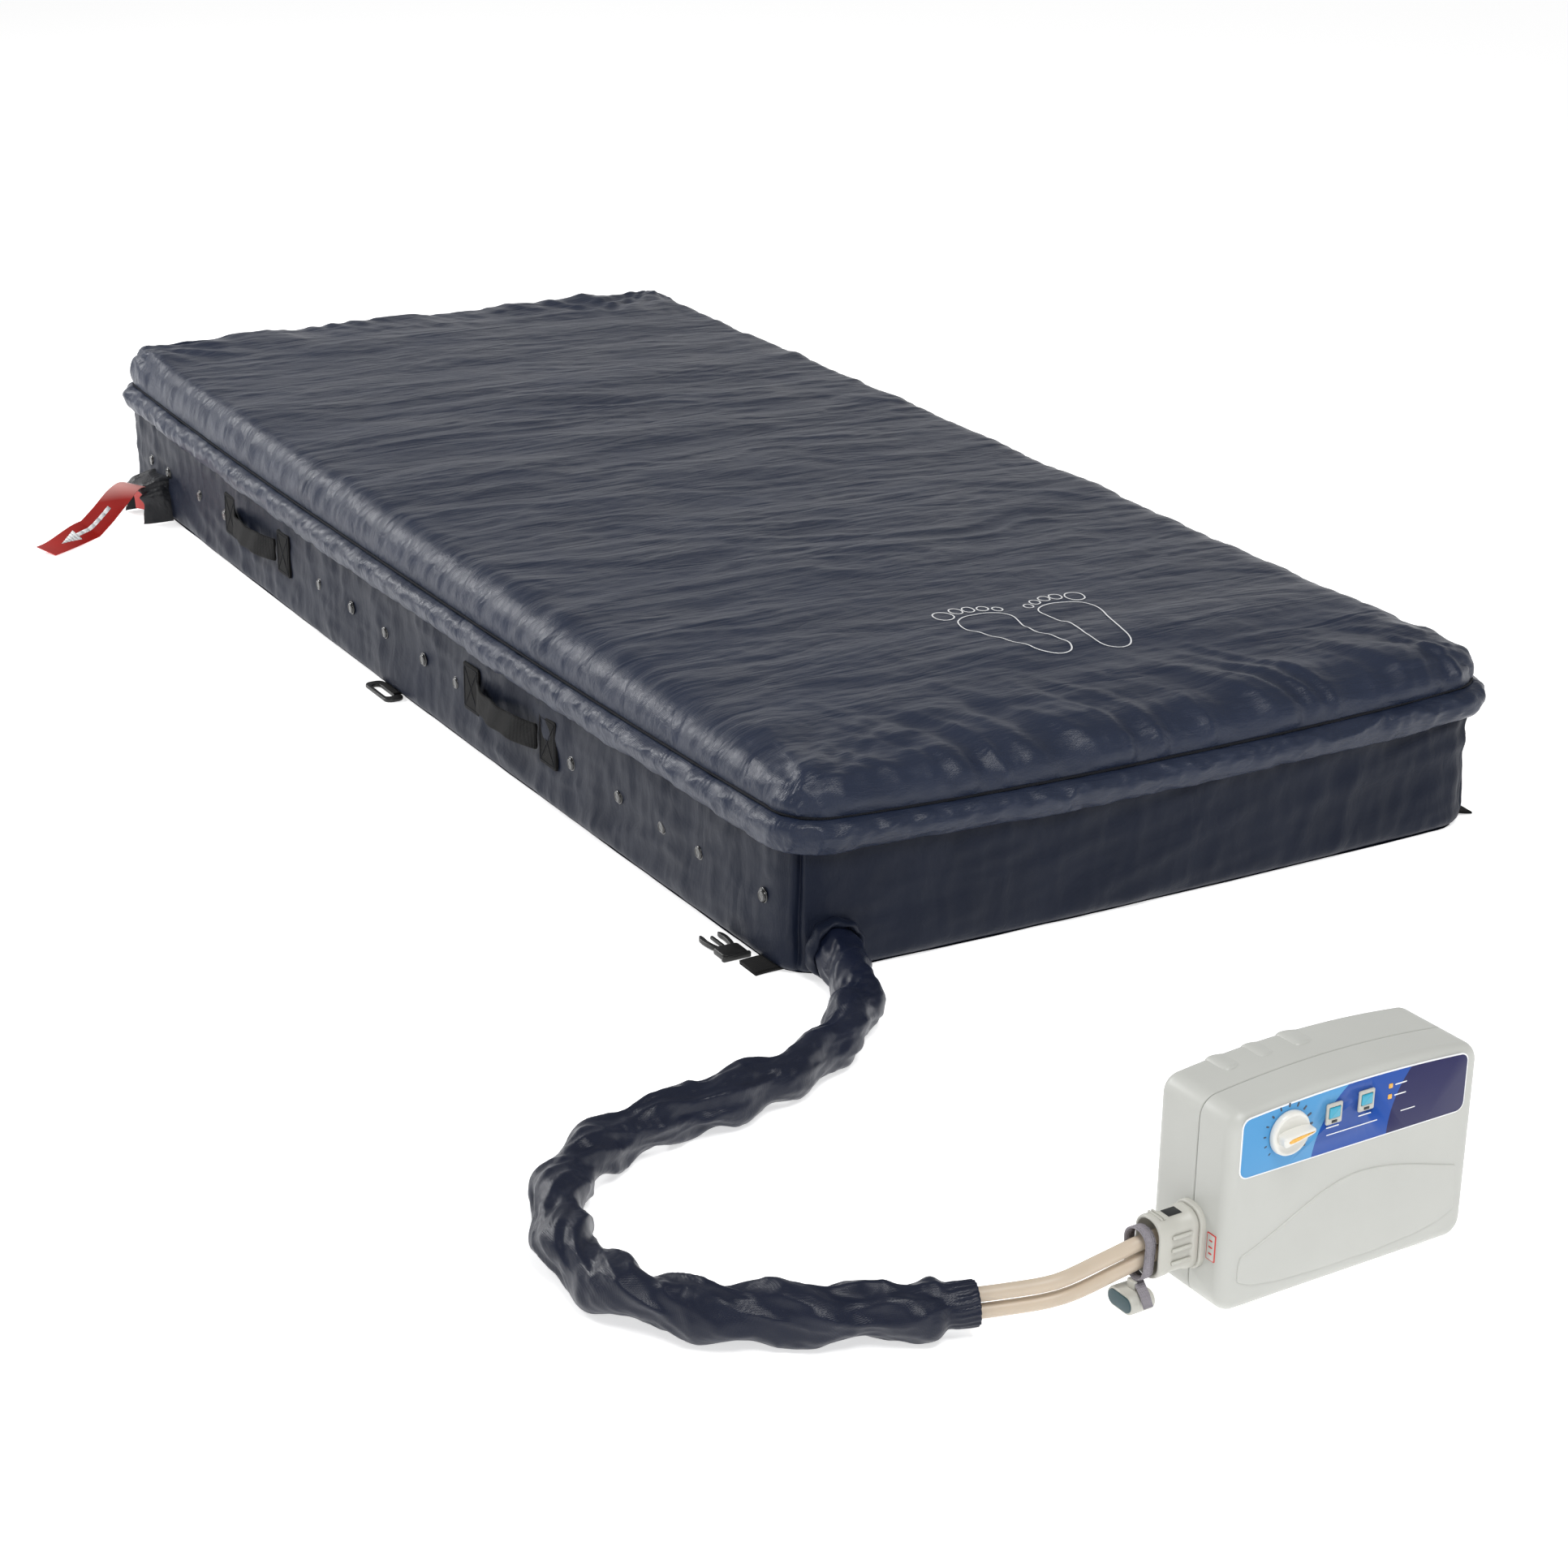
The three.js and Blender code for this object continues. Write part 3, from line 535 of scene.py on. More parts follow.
def catmull_rom(points, per_segment=24):
    """Centripetal Catmull-Rom curve through the points."""
    p = [np.array(q, float) for q in points]
    p = [2 * p[0] - p[1]] + p + [2 * p[-1] - p[-2]]
    out = []
    for k in range(1, len(p) - 2):
        x0, x1, x2, x3 = p[k - 1:k + 3]
        d0, d1, d2 = (np.linalg.norm(b - a) ** 0.5 for a, b in ((x0, x1), (x1, x2), (x2, x3)))
        t1 = ((x1 - x0) / d0 - (x2 - x0) / (d0 + d1) + (x2 - x1) / d1) * d1
        t2 = ((x2 - x1) / d1 - (x3 - x1) / (d1 + d2) + (x3 - x2) / d2) * d1
        for t in np.linspace(0, 1, per_segment, endpoint=False):
            out.append((2 * t**3 - 3 * t**2 + 1) * x1 + (t**3 - 2 * t**2 + t) * t1
                       + (3 * t**2 - 2 * t**3) * x2 + (t**3 - t**2) * t2)
    out.append(p[-2])
    return np.array(out)


def path_length(points):
    return float(np.linalg.norm(np.diff(points, axis=0), axis=1).sum())


def path_frames(points):
    """Tangent, side and upward unit vectors at each point."""
    tangent = np.gradient(points, axis=0)
    tangent /= np.linalg.norm(tangent, axis=1)[:, None]
    side = np.cross(tangent, np.array([0, 0, 1.0]))
    side /= np.linalg.norm(side, axis=1)[:, None]
    return tangent, side, np.cross(side, tangent)


ROUTE = resample(catmull_rom(HOSE_ROUTE), 1200, closed=False)
SLEEVE_SHARE = SLEEVE_STEPS / HOSE_STEPS


def tube(name, path, radius, sides):
    """Round tube along a path, closed at both ends."""
    _, side, up = path_frames(path)
    c, s = np.cos(circle(sides))[:, None], np.sin(circle(sides))[:, None]
    return fix_normals(loft(name, [p + radius * (c * side[i] + s * up[i])
                                   for i, p in enumerate(path)]))


# ------------------------------------------------------------------ cloth


def crumple(piece, rest, hold, frames, stiffness, bending, goal, limit):
    """Let cloth that was cut larger than its place buckle into it.

    `rest` is the vertices' places in the uncrumpled cut, `hold` how firmly each vertex is
    held where it is, and `limit` the furthest it may move.
    """
    start = np.array([v.co for v in piece.data.vertices])
    piece.shape_key_add(name="Basis")
    key = piece.shape_key_add(name="cut")
    key.data.foreach_set("co", np.asarray(rest, float).ravel())
    key.value = 0.0
    group = piece.vertex_groups.new(name="hold")
    levels = np.round(np.clip(hold, 0, 1) * HOLD_LEVELS).astype(int)
    for level in np.unique(levels[levels > 0]):
        held = [int(i) for i in np.nonzero(levels == level)[0]]
        group.add(held, level / HOLD_LEVELS, "REPLACE")
    modifier = piece.modifiers.new("cloth", "CLOTH")
    cloth = modifier.settings
    cloth.quality = 5
    cloth.mass = 0.1
    cloth.tension_stiffness = stiffness
    cloth.compression_stiffness = stiffness
    cloth.shear_stiffness = stiffness * 0.4
    cloth.bending_stiffness = bending
    cloth.air_damping = 2.0
    cloth.vertex_group_mass = "hold"
    cloth.pin_stiffness = goal
    cloth.rest_shape_key = key
    cloth.effector_weights.gravity = 0
    modifier.collision_settings.use_collision = False
    modifier.point_cache.frame_start = 1
    modifier.point_cache.frame_end = frames
    scene = bpy.context.scene
    for number in range(1, frames + 1):
        scene.frame_set(number)
    evaluated = piece.evaluated_get(bpy.context.evaluated_depsgraph_get())
    moved_to = np.empty(len(start) * 3)
    evaluated.to_mesh().vertices.foreach_get("co", moved_to)
    evaluated.to_mesh_clear()
    piece.modifiers.remove(modifier)
    piece.shape_key_clear()
    piece.vertex_groups.clear()
    scene.frame_set(1)
    shift = moved_to.reshape(-1, 3) - start
    reach = np.linalg.norm(shift, axis=1)
    shift *= np.minimum(1, limit / np.maximum(reach, 1e-9))[:, None]
    return start + shift


def set_points(piece, points):
    piece.data.vertices.foreach_set("co", np.asarray(points, float).ravel())
    piece.data.update()


def subdivide(piece):
    modifier = piece.modifiers.new("smooth", "SUBSURF")
    modifier.levels = modifier.render_levels = 1
    return piece


# ------------------------------------------------------------------ mattress shape


def edge_bow(x, y):
    """Plan position with the long sides and the ends bowed out."""
    bowed_x = x * (1 + SIDE_BULGE / HALF_WIDTH * (1 - np.clip(y / HALF_LENGTH, -1, 1) ** 2))
    bowed_y = y * (1 + END_BULGE / HALF_LENGTH * (1 - np.clip(x / HALF_WIDTH, -1, 1) ** 2))
    return bowed_x, bowed_y


def round_corners(x, y, half_x, half_y, radius):
    """Pull the corners of a rectangle in to arcs, leaving the rest where it is."""
    p = np.clip((np.abs(x) - (half_x - radius)) / radius, 0, None)
    q = np.clip((np.abs(y) - (half_y - radius)) / radius, 0, None)
    both = (p > 0) & (q > 0)
    px = np.where(both, p * np.sqrt(np.clip(1 - q * q / 2, 0, 1)), p)
    qy = np.where(both, q * np.sqrt(np.clip(1 - p * p / 2, 0, 1)), q)
    new_x = np.where(p > 0, np.sign(x) * (half_x - radius + radius * px), x)
    new_y = np.where(q > 0, np.sign(y) * (half_y - radius + radius * qy), y)
    return new_x, new_y


def seam_height(x, y):
    """The seam sags between the corners."""
    return SEAM_Z - SEAM_SAG * (1 - (np.abs(x / HALF_WIDTH) * np.abs(y / HALF_LENGTH)) ** 3)


def edge_profile(run):
    """Inset and height share of the top panel, `run` metres of cloth in from the seam."""
    phi = np.linspace(0, math.pi / 2, 200)
    inset = EDGE_INSET * (1 - np.cos(phi)) - 0.0075 * np.sin(2 * phi)
    rise = np.sin(phi)
    length = np.concatenate([[0], np.cumsum(np.hypot(np.diff(inset), 0.046 * np.diff(rise)))])
    beyond = np.maximum(run - length[-1], 0)
    return np.interp(run, length, inset) + beyond, np.interp(run, length, rise)


def tighter(inset, amount, half):
    """The same insets with the rounding drawn out towards the seam, easing off inwards."""
    near = np.clip(inset / EDGE_INSET, -0.2, 1) * (1 - smoothstep(EDGE_INSET, half - 0.03, inset))
    return inset - amount * EDGE_INSET * near


def profile_length(half):
    run = np.linspace(0, half * 1.3, 4000)
    inset, _ = edge_profile(run)
    return float(np.interp(half, inset, run))


def perimeter(count_per_metre=190):
    """Points and outward normals round the plan, closer together at the corners, with each
    point's run along it and distance from a corner, and the whole length round."""
    w, l, r, steps = HALF_WIDTH, HALF_LENGTH, CORNER_RADIUS, 400
    t = np.linspace(0, 1, steps, endpoint=False)[:, None]

    def bow(*ends):
        a, c, b = (np.array(p, float) for p in ends)
        return (1 - t) ** 2 * a + 2 * t * (1 - t) * c + t * t * b

    def arc(cx, cy, start):
        angle = start + t * math.pi / 2
        return np.hstack([cx + r * np.cos(angle), cy + r * np.sin(angle)])

    side, end = w + 2 * SIDE_BULGE, l + 2 * END_BULGE
    closed = np.vstack([
        bow((-w + r, -l), (0, -end), (w - r, -l)), arc(w - r, -l + r, -math.pi / 2),
        bow((w, -l + r), (side, 0), (w, l - r)), arc(w - r, l - r, 0),
        bow((w - r, l), (0, end), (-w + r, l)), arc(-w + r, l - r, math.pi / 2),
        bow((-w, l - r), (-side, 0), (-w, -l + r)), arc(-w + r, -l + r, math.pi),
        [(-w + r, -l)]])
    run = run_along(closed)
    total = run[-1]
    corners = run[[int(steps * (2 * k + 1.5)) for k in range(4)]]
    weight_at = np.linspace(0, total, 20000)
    near = np.min(np.abs(weight_at[:, None] - corners), axis=1)
    density = 1 + 4.5 * np.exp(-(near / 0.016) ** 2)
    share = np.concatenate([[0], np.cumsum((density[1:] + density[:-1]) / 2)])
    count = int(total * count_per_metre)
    at = np.interp(np.linspace(0, 1, count, endpoint=False), share / share[-1], weight_at)

    def point_at(place):
        return columns(*(np.interp(place, run, values) for values in closed.T))

    tangent = point_at((at + 0.002) % total) - point_at((at - 0.002) % total)
    tangent /= np.linalg.norm(tangent, axis=1)[:, None]
    normal = columns(tangent[:, 1], -tangent[:, 0])
    from_corner = np.abs((at[:, None] - corners + total / 2) % total - total / 2).min(axis=1)
    return point_at(at), normal, at, from_corner, total


def wall_x(y):
    half = HALF_LENGTH - CORNER_RADIUS
    return HALF_WIDTH + SIDE_BULGE * (1 - (y / half) ** 2)


def around(at, total):
    """Perimeter run as two coordinates of a circle, so that noise meets itself."""
    angle, radius = at / total * 2 * math.pi, total / (2 * math.pi)
    return radius * np.cos(angle), radius * np.sin(angle)


def off_wall(points, normal, out, z):
    """The plan points `out` metres outwards, at height z."""
    return columns(points[:, 0] + normal[:, 0] * out, points[:, 1] + normal[:, 1] * out, z)


# ------------------------------------------------------------------ mattress pieces


def top_points(cols, rows):
    """Places and developed sizes of the top panel's cloth grid."""
    long_x, long_y = profile_length(HALF_WIDTH), profile_length(HALF_LENGTH)
    gx = np.linspace(-long_x, long_x, cols)
    gy = np.linspace(-long_y, long_y, rows)
    dev_x, dev_y = np.meshgrid(gx, gy)
    dev_x, dev_y = dev_x.ravel(), dev_y.ravel()
    inset_x, rise_x = edge_profile(long_x - np.abs(dev_x))
    inset_y, rise_y = edge_profile(long_y - np.abs(dev_y))
    tight = 0.3 + 0.3 * dev_y / long_y
    inset_x = tighter(inset_x, tight, HALF_WIDTH)
    inset_y = tighter(inset_y, tight, HALF_LENGTH)
    x = np.sign(dev_x) * (HALF_WIDTH - inset_x)
    y = np.sign(dev_y) * (HALF_LENGTH - inset_y)
    rise = rise_x * rise_y
    x, y = round_corners(x, y, HALF_WIDTH, HALF_LENGTH, CORNER_RADIUS)
    seam = seam_height(x, y)
    crown = TOP_CROWN * (1 - (x / HALF_WIDTH) ** 2) * (1 - np.abs(y / HALF_LENGTH) ** 3)
    level = TOP_Z + TOP_SLOPE * y / HALF_LENGTH
    z = seam + (level + crown - seam) * rise
    x, y = edge_bow(x, y)
    return columns(x, y, z), dev_x, dev_y, long_x, long_y


def add_top_cover():
    cols, rows = ((126, 330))
    points, dev_x, dev_y, long_x, long_y = top_points(cols, rows)
    piece = new_mesh("top_panel", points, grid_faces(rows, cols))
    from_side, from_end = long_x - np.abs(dev_x), long_y - np.abs(dev_y)
    from_edge = np.minimum(from_side, from_end)
    spare_x, spare_y = 1.006 + 0.045 * np.exp(-(from_end / 0.1) ** 2), 1.035
    rest = columns(dev_x * spare_x, dev_y * spare_y, 0.0)
    jitter = smooth_noise(points * 90, 5) * 0.0006
    set_points(piece, points + columns(0.0, 0.0, jitter) * (from_edge > 0.01)[:, None])
    points = crumple(piece, rest, np.where(from_edge < 0.004, 1.0, 0.1), frames=22,
                     stiffness=12, bending=0.05, goal=0.6, limit=0.012)
    x, y, z = points.T
    warp = 0.9 * fbm(points * 7, 2, 3)
    # loose broken creases across the width, and gathers running up from the seam
    fine = ridges(columns(x * 4, y * 27 + x * 5 + warp * 1.4, z * 6), 3, 11) - 0.45
    patch = 0.55 + 0.45 * fbm(points * (3.0, 5.0, 3.0), 2, 21)
    gather_side = ridges(columns(y * 52 + warp, z * 9, 3.0), 2, 31) - 0.4
    gather_end = ridges(columns(x * 30 + y * 13 + 0.9 * warp, y * 3, 8.0), 2, 41) - 0.42
    lift = 0.0062 * fine * patch * smoothstep(0.02, 0.1, from_edge)
    lift += 0.0058 * gather_side * np.exp(-(from_side / 0.07) ** 2)
    lift += 0.0125 * gather_end * np.exp(-(from_end / 0.15) ** 2)
    lift += 0.0026 * fbm(points * (4.0, 14.0, 4.0), 2, 51)
    for sx in (-1, 1):
        for sy in (-1, 1):
            dx, dy = x - sx * (HALF_WIDTH - 0.01), y - sy * (HALF_LENGTH - 0.01)
            away = np.hypot(dx, dy)
            turn = np.arctan2(dy, dx) * 5.2 + 0.6 * warp
            spokes = ridges(columns(turn, away * 5, float(sx + 3 * sy)), 2, 61) - 0.45
            lift += 0.01 * spokes * np.exp(-((away - 0.06) / 0.11) ** 2)
    lift *= smoothstep(0.0, 0.014, from_edge)
    set_points(piece, points)
    normals = np.empty(len(points) * 3)
    piece.data.vertices.foreach_get("normal", normals)
    set_points(piece, points + normals.reshape(-1, 3) * lift[:, None])
    subdivide(piece)
    finish_piece(piece, TOP_NYLON, "cover_top", ROOT, "top_cover")
    return piece


def sole_outline(cx, cy, turn, mirror):
    """Outlines of one printed sole and its five toes, in plan."""
    sole = [(-0.02, -0.06), (0.000, -0.075), (0.02, -0.062), (0.022, -0.03), (0.018, 0.000),
            (0.03, 0.03), (0.038, 0.054), (0.018, 0.072), (-0.018, 0.072), (-0.036, 0.048),
            (-0.026, 0.012), (-0.022, -0.025)]
    loops = [resample(chaikin(sole, 3), 90)]
    for x, y, r in ((-0.024, 0.086, 0.0125), (-0.003, 0.09, 0.0082), (0.012, 0.087, 0.0074),
                    (0.026, 0.08, 0.0068), (0.038, 0.07, 0.0062)):
        a = circle(24)
        loops.append(columns(x + r * 0.85 * np.cos(a), y + r * np.sin(a)))
    c, d = math.cos(turn), math.sin(turn)
    placed = []
    for loop in loops:
        x, y = loop[:, 0] * mirror * 1.1, loop[:, 1] * 1.12
        placed.append(columns(cx + c * x - d * y, cy + d * x + c * y))
    return placed


def add_printed_soles(panel):
    """Thin white outlines of two soles at the foot end, following the cloth."""
    cloth = BVHTree.FromObject(panel, bpy.context.evaluated_depsgraph_get())
    lines = []
    for loop in sole_outline(-0.006, -0.742, 0.16, 1) + sole_outline(0.09, -0.75, -0.16, -1):
        path, ups = [], []
        for x, y in np.vstack([loop, loop[:1]]):
            hit, normal, _, _ = cloth.ray_cast(Vector((x, y, 0.5)), Vector((0, 0, -1)))
            path.append(np.array(hit + normal * 0.0007))
            ups.append(np.array(normal))
        path = np.array(path)
        run = np.gradient(path, axis=0)
        run[0] = run[-1] = path[1] - path[-2]
        run /= np.linalg.norm(run, axis=1)[:, None]
        half = np.cross(ups, run) * 0.0009
        n = len(path)
        faces = [(i, i + 1, n + i + 1, n + i) for i in range(n - 1)]
        lines.append(new_mesh("line", np.concatenate([path - half, path + half]), faces))
    finish_piece(joined("printed_soles", *lines), WHITE_PRINT, "cover_top", ROOT)


def seam_z_round(points):
    return seam_height(np.clip(points[:, 0], -HALF_WIDTH, HALF_WIDTH),
                       np.clip(points[:, 1], -HALF_LENGTH, HALF_LENGTH))


def add_flap():
    """Padded flap below the seam, gathered along it."""
    points, normal, at, _, total = perimeter()
    seam = seam_z_round(points)
    ax, ay = around(at, total)
    slow = columns(ax * 9, ay * 9, 0.0)
    drop = FLAP_HEIGHT * (1 + 0.07 * fbm(slow, 2, 61))
    uneven = 1 + 0.14 * fbm(slow * 2.3, 2, 81)
    rings = []
    for share in np.linspace(0, 1, 17):
        slope = 0.35 * share
        pucker = ridges(columns(ax * 48 + slope * 2.2, ay * 48 + slope * 1.7, share * 1.6),
                        2, 71) - 0.45
        depth = (0.0044 * math.exp(-(share / 0.4) ** 2) + 0.0026
                 + 0.0026 * math.exp(-((share - 1) / 0.3) ** 2))
        bulge = 0.0145 * math.sin(math.pi * share ** 0.8) ** 0.75
        out = 0.0012 + bulge * uneven + 0.004 * share + depth * pucker
        out = np.maximum(out + 0.0016 * pucker, 0.0012)
        rings.append(off_wall(points, normal, out,
                              seam + 0.0006 - drop * share * (1 - 0.03 * share)))
    for share in np.linspace(1, 0, 6)[1:]:
        rings.append(off_wall(points, normal, 0.0012 + 0.004 * share * (1 - share),
                              seam - 0.0008 - (drop - 0.004) * share))
    piece = subdivide(fix_normals(loft("padded_flap", rings, wrap=True)))
    finish_piece(piece, TOP_NYLON, "cover_top", ROOT, "cover_flap")


def add_seam_cord():
    """Stitched seam line between the top panel and the flap."""
    points, normal, _, _, _ = perimeter(150)
    seam = seam_z_round(points)
    rings = [off_wall(points, normal, 0.0014 + 0.0017 * math.cos(a),
                      seam + 0.0012 + 0.0015 * math.sin(a)) for a in circle(8)]
    finish_piece(fix_normals(loft("top_seam", rings, wrap=True)), SEAM_THREAD, "cover_top", ROOT)


def add_base_cover():
    """Side walls and underside: loose nylon with upright folds and seamed corners."""
    points, normal, at, from_corner, total = perimeter()
    ax, ay = around(at, total)
    seam_dip = np.exp(-(from_corner / 0.003) ** 2)
    lip = np.exp(-((from_corner - 0.007) / 0.0045) ** 2)
    away = smoothstep(0.0, 0.02, from_corner)
    rings = [columns(points[:, 0] * share, points[:, 1] * (1 - (1 - share) * 0.45), 0.0006)
             for share in (0.95, 0.98)]
    for z in np.concatenate([[0.0006, 0.0012, 0.003, 0.006, 0.01],
                             np.linspace(0.016, WALL_TOP, 24)]):
        tuck = -0.01 * max(0.0, 1 - z / 0.01) ** 2
        lean = 0.0045 * math.exp(-(z / 0.05) ** 2)
        upright = ridges(columns(ax * 15 + z * 3, ay * 15, z * 7), 2, 91) - 0.5
        fine = ridges(columns(ax * 44 + z * 9, ay * 44 - z * 7, z * 14), 2, 101) - 0.5
        slant = ridges(columns(ax * 7 + z * 26, ay * 7 - z * 22, z * 6), 2, 111) - 0.5
        out = (lean * away + 0.0046 * upright + 0.002 * fine + 0.005 * slant
               - 0.004 * seam_dip + 0.0014 * lip)
        fade = smoothstep(0.0, 0.02, z) * (1 - 0.8 * smoothstep(0.13, 0.16, z)) + 0.15
        rings.append(off_wall(points, normal, tuck + out * fade, z))
    piece = subdivide(loft("base_walls", rings, cap_first=False, cap_last=False))
    finish_piece(piece, WALL_NYLON, "cover_walls", ROOT, "base_cover")

    rows, cols, margin = 130, 60, 0.004
    gx, gy = np.meshgrid(np.linspace(-1, 1, cols), np.linspace(-1, 1, rows))
    half_x, half_y = HALF_WIDTH - margin, HALF_LENGTH - margin
    x, y = edge_bow(*round_corners(gx.ravel() * half_x, gy.ravel() * half_y, half_x, half_y,
                                   CORNER_RADIUS))
    z = 0.0007 + 0.0012 * ridges(columns(x * 9.0, y * 14.0, 0.0), 3, 141)
    under = new_mesh("base_underside", columns(x, y, z), grid_faces(rows, cols, flip=True))
    finish_piece(under, WALL_NYLON, "cover_walls", ROOT)


# ------------------------------------------------------------------ sleeve and hoses


def add_sleeve():
    """Crumpled nylon sleeve round the hoses, gathered to a cuff at the pump's end."""
    path = ROUTE[: int(len(ROUTE) * SLEEVE_SHARE)]
    length = path_length(path)
    rows, sides = ((360, 56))
    path = resample(path, rows, closed=False)
    _, side, up = path_frames(path)
    run, angle = (grid.ravel() for grid in np.meshgrid(np.linspace(0, length, rows),
                                                       circle(sides), indexing="ij"))
    cuff = smoothstep(length - 0.04, length - 0.012, run)
    base = 0.0243 - 0.002 * np.exp(-(run / 0.03) ** 2) - 0.005 * cuff
    ring_x, ring_y = np.cos(angle), np.sin(angle)
    radius = base * (1 + 0.07 * fbm(columns(run * 13, ring_x * 1.1, ring_y * 1.1), 2, 121))
    index = np.repeat(np.arange(rows), sides)
    axis = path[index]
    points = axis + ((ring_x * radius)[:, None] * side[index]
                     + (ring_y * radius)[:, None] * up[index])
    piece = new_mesh("hose_sleeve_cloth", points, grid_faces(rows, sides, wrap_cols=True))
    cut_size = 2 * math.pi * 0.0245 * 1.1
    straight = columns(ring_x * cut_size / (2 * math.pi), run * 1.16,
                       ring_y * cut_size / (2 * math.pi))
    hold = np.where((index < 2) | (index > rows - 3), 1.0, 0.06)
    jitter = columns(*(smooth_noise(points * 120, seed) for seed in (6, 7, 8)))
    set_points(piece, points + 0.0008 * jitter)
    points = crumple(piece, straight, hold, frames=24, stiffness=14, bending=0.1, goal=0.5,
                     limit=0.009)
    twist = angle + run * 14 + 1.3 * np.sin(run * 9)
    fold = ridges(columns(run * 11, 1.25 * np.cos(twist), 1.25 * np.sin(twist)), 2, 131,
                  0.4) - 0.55
    fold += 0.5 * np.sin(run * 2 * math.pi / 0.083 + 2.2 * np.sin(angle + run * 5))
    fold += 0.3 * (ridges(columns(run * 33, 1.8 * np.cos(twist), 1.8 * np.sin(twist)), 1, 137)
                   - 0.5)
    outward = points - axis
    reach = np.linalg.norm(outward, axis=1)
    outward /= reach[:, None]
    pleats = np.cos(angle * 21 + 1.5 * np.sin(run * 90)) * 0.0016
    reach = (reach + 0.0072 * fold * (1 - cuff)) * (1 - cuff) + (base + pleats) * cuff
    reach -= 0.0035 * np.exp(-((run - (length - 0.026)) / 0.006) ** 2)
    points = axis + outward * np.clip(reach, 0.018, 0.0315)[:, None]
    points[:, 2] = np.maximum(points[:, 2], 0.0012)
    set_points(piece, points)
    thick = piece.modifiers.new("cloth thickness", "SOLIDIFY")
    thick.thickness, thick.offset = 0.0009, -1
    fix_normals(subdivide(piece))
    finish_piece(piece, SLEEVE_NYLON, "cover_walls", ROOT, "hose_sleeve")


def add_hoses():
    _, _, up = path_frames(ROUTE)
    for name, offset in (("air_hose_a", HOSE_OFFSET), ("air_hose_b", -HOSE_OFFSET)):
        path = resample(ROUTE + up * offset, 220, closed=False)
        piece = tube(name + "_tube", path, HOSE_RADIUS, 20)
        finish_piece(piece, HOSE_BEIGE, "air_tube", ROOT, name)


# ------------------------------------------------------------------ solids with rounded edges


def offset_in(outline, d):
    """The closed anticlockwise outline moved inwards by d."""
    ahead, behind = np.roll(outline, -1, axis=0), np.roll(outline, 1, axis=0)
    tangent = ahead - behind
    tangent /= np.maximum(np.linalg.norm(tangent, axis=1), 1e-9)[:, None]
    return outline + d * columns(-tangent[:, 1], tangent[:, 0])


def edge_steps(w0, w1, r0, r1, n=4):
    """(inset, place) steps along a solid with edges rounded by r0 and r1."""
    sign = 1 if w1 > w0 else -1
    steps = []
    for k in range(n + 1):
        a = math.pi / 2 * k / n
        steps.append((r0 * (1 - math.sin(a)), w0 + sign * r0 * (1 - math.cos(a))))
    for k in range(n + 1):
        a = math.pi / 2 * k / n
        steps.append((r1 * (1 - math.cos(a)), w1 - sign * r1 * (1 - math.sin(a))))
    return steps


def swept(name, outline, axis, w0, w1, r0=0.0008, r1=0.0008, n=3):
    """The outline pushed along an axis from w0 to w1, with rounded edges. For x the outline
    is (y, z), for y it is (x, z) and for z it is (x, y)."""
    rings = [laid(offset_in(outline, inset), axis, w) for inset, w in edge_steps(w0, w1, r0, r1, n)]
    return sharpen(fix_normals(loft(name, rings)), 40)


def laid(outline, axis, level):
    """The flat outline as 3-D points, at a level along the axis."""
    return np.insert(outline, "xyz".index(axis), level, axis=1)


def cut_pockets(piece, cutters):
    """Remove the cutter solids from the piece."""
    for cutter in cutters:
        modifier = piece.modifiers.new("pocket", "BOOLEAN")
        modifier.operation = "DIFFERENCE"
        modifier.solver = "EXACT"
        modifier.object = cutter
    bpy.context.view_layer.update()
    graph = bpy.context.evaluated_depsgraph_get()
    cut = bpy.data.meshes.new_from_object(piece.evaluated_get(graph))
    piece.modifiers.clear()
    piece.data = cut
    for cutter in cutters:
        bpy.data.objects.remove(cutter)
    return piece


def moved(outline, dx, dy):
    return outline + np.array([dx, dy])


def box_piece(name, low, high, r=0.0006):
    """Box from one corner to the other, its four long edges and both ends rounded."""
    low, high = np.array(low), np.array(high)
    size, mid = high - low, (high + low) / 2
    r = min(r, float(size.min()) * 0.45)
    outline = rounded(size[0], size[2], r, 3, mid[0], mid[2])
    return swept(name, outline, "y", low[1], high[1], r, r, 2)


def turned(name, profile, centre, axis="y", sides=40):
    """Solid of revolution about an axis through centre; profile is (radius, along)."""
    ring = columns(np.cos(circle(sides)), np.sin(circle(sides)))
    rings = [laid(r * ring, axis, w) + np.array(centre) for r, w in profile]
    return sharpen(fix_normals(loft(name, rings)), 40)


def chaikin(points, times=2):
    """The closed outline with its corners cut."""
    p = np.asarray(points, float)
    for _ in range(times):
        q = np.roll(p, -1, axis=0)
        p = np.stack([0.75 * p + 0.25 * q, 0.25 * p + 0.75 * q], axis=1).reshape(-1, p.shape[1])
    return p


def ribbon(name, centre, across, up, width, thickness):
    """Flat strap along centre points; across and up are unit vectors, one for each point
    or one for all."""
    centre = np.asarray(centre, float)
    across, up = (np.broadcast_to(np.asarray(v, float), centre.shape) for v in (across, up))
    section = rounded(width, thickness, thickness * 0.45, 3)
    rings = [c + section[:, :1] * a + section[:, 1:] * u for c, a, u in zip(centre, across, up)]
    return sharpen(fix_normals(loft(name, rings)), 50)


# ------------------------------------------------------------------ filling and zip


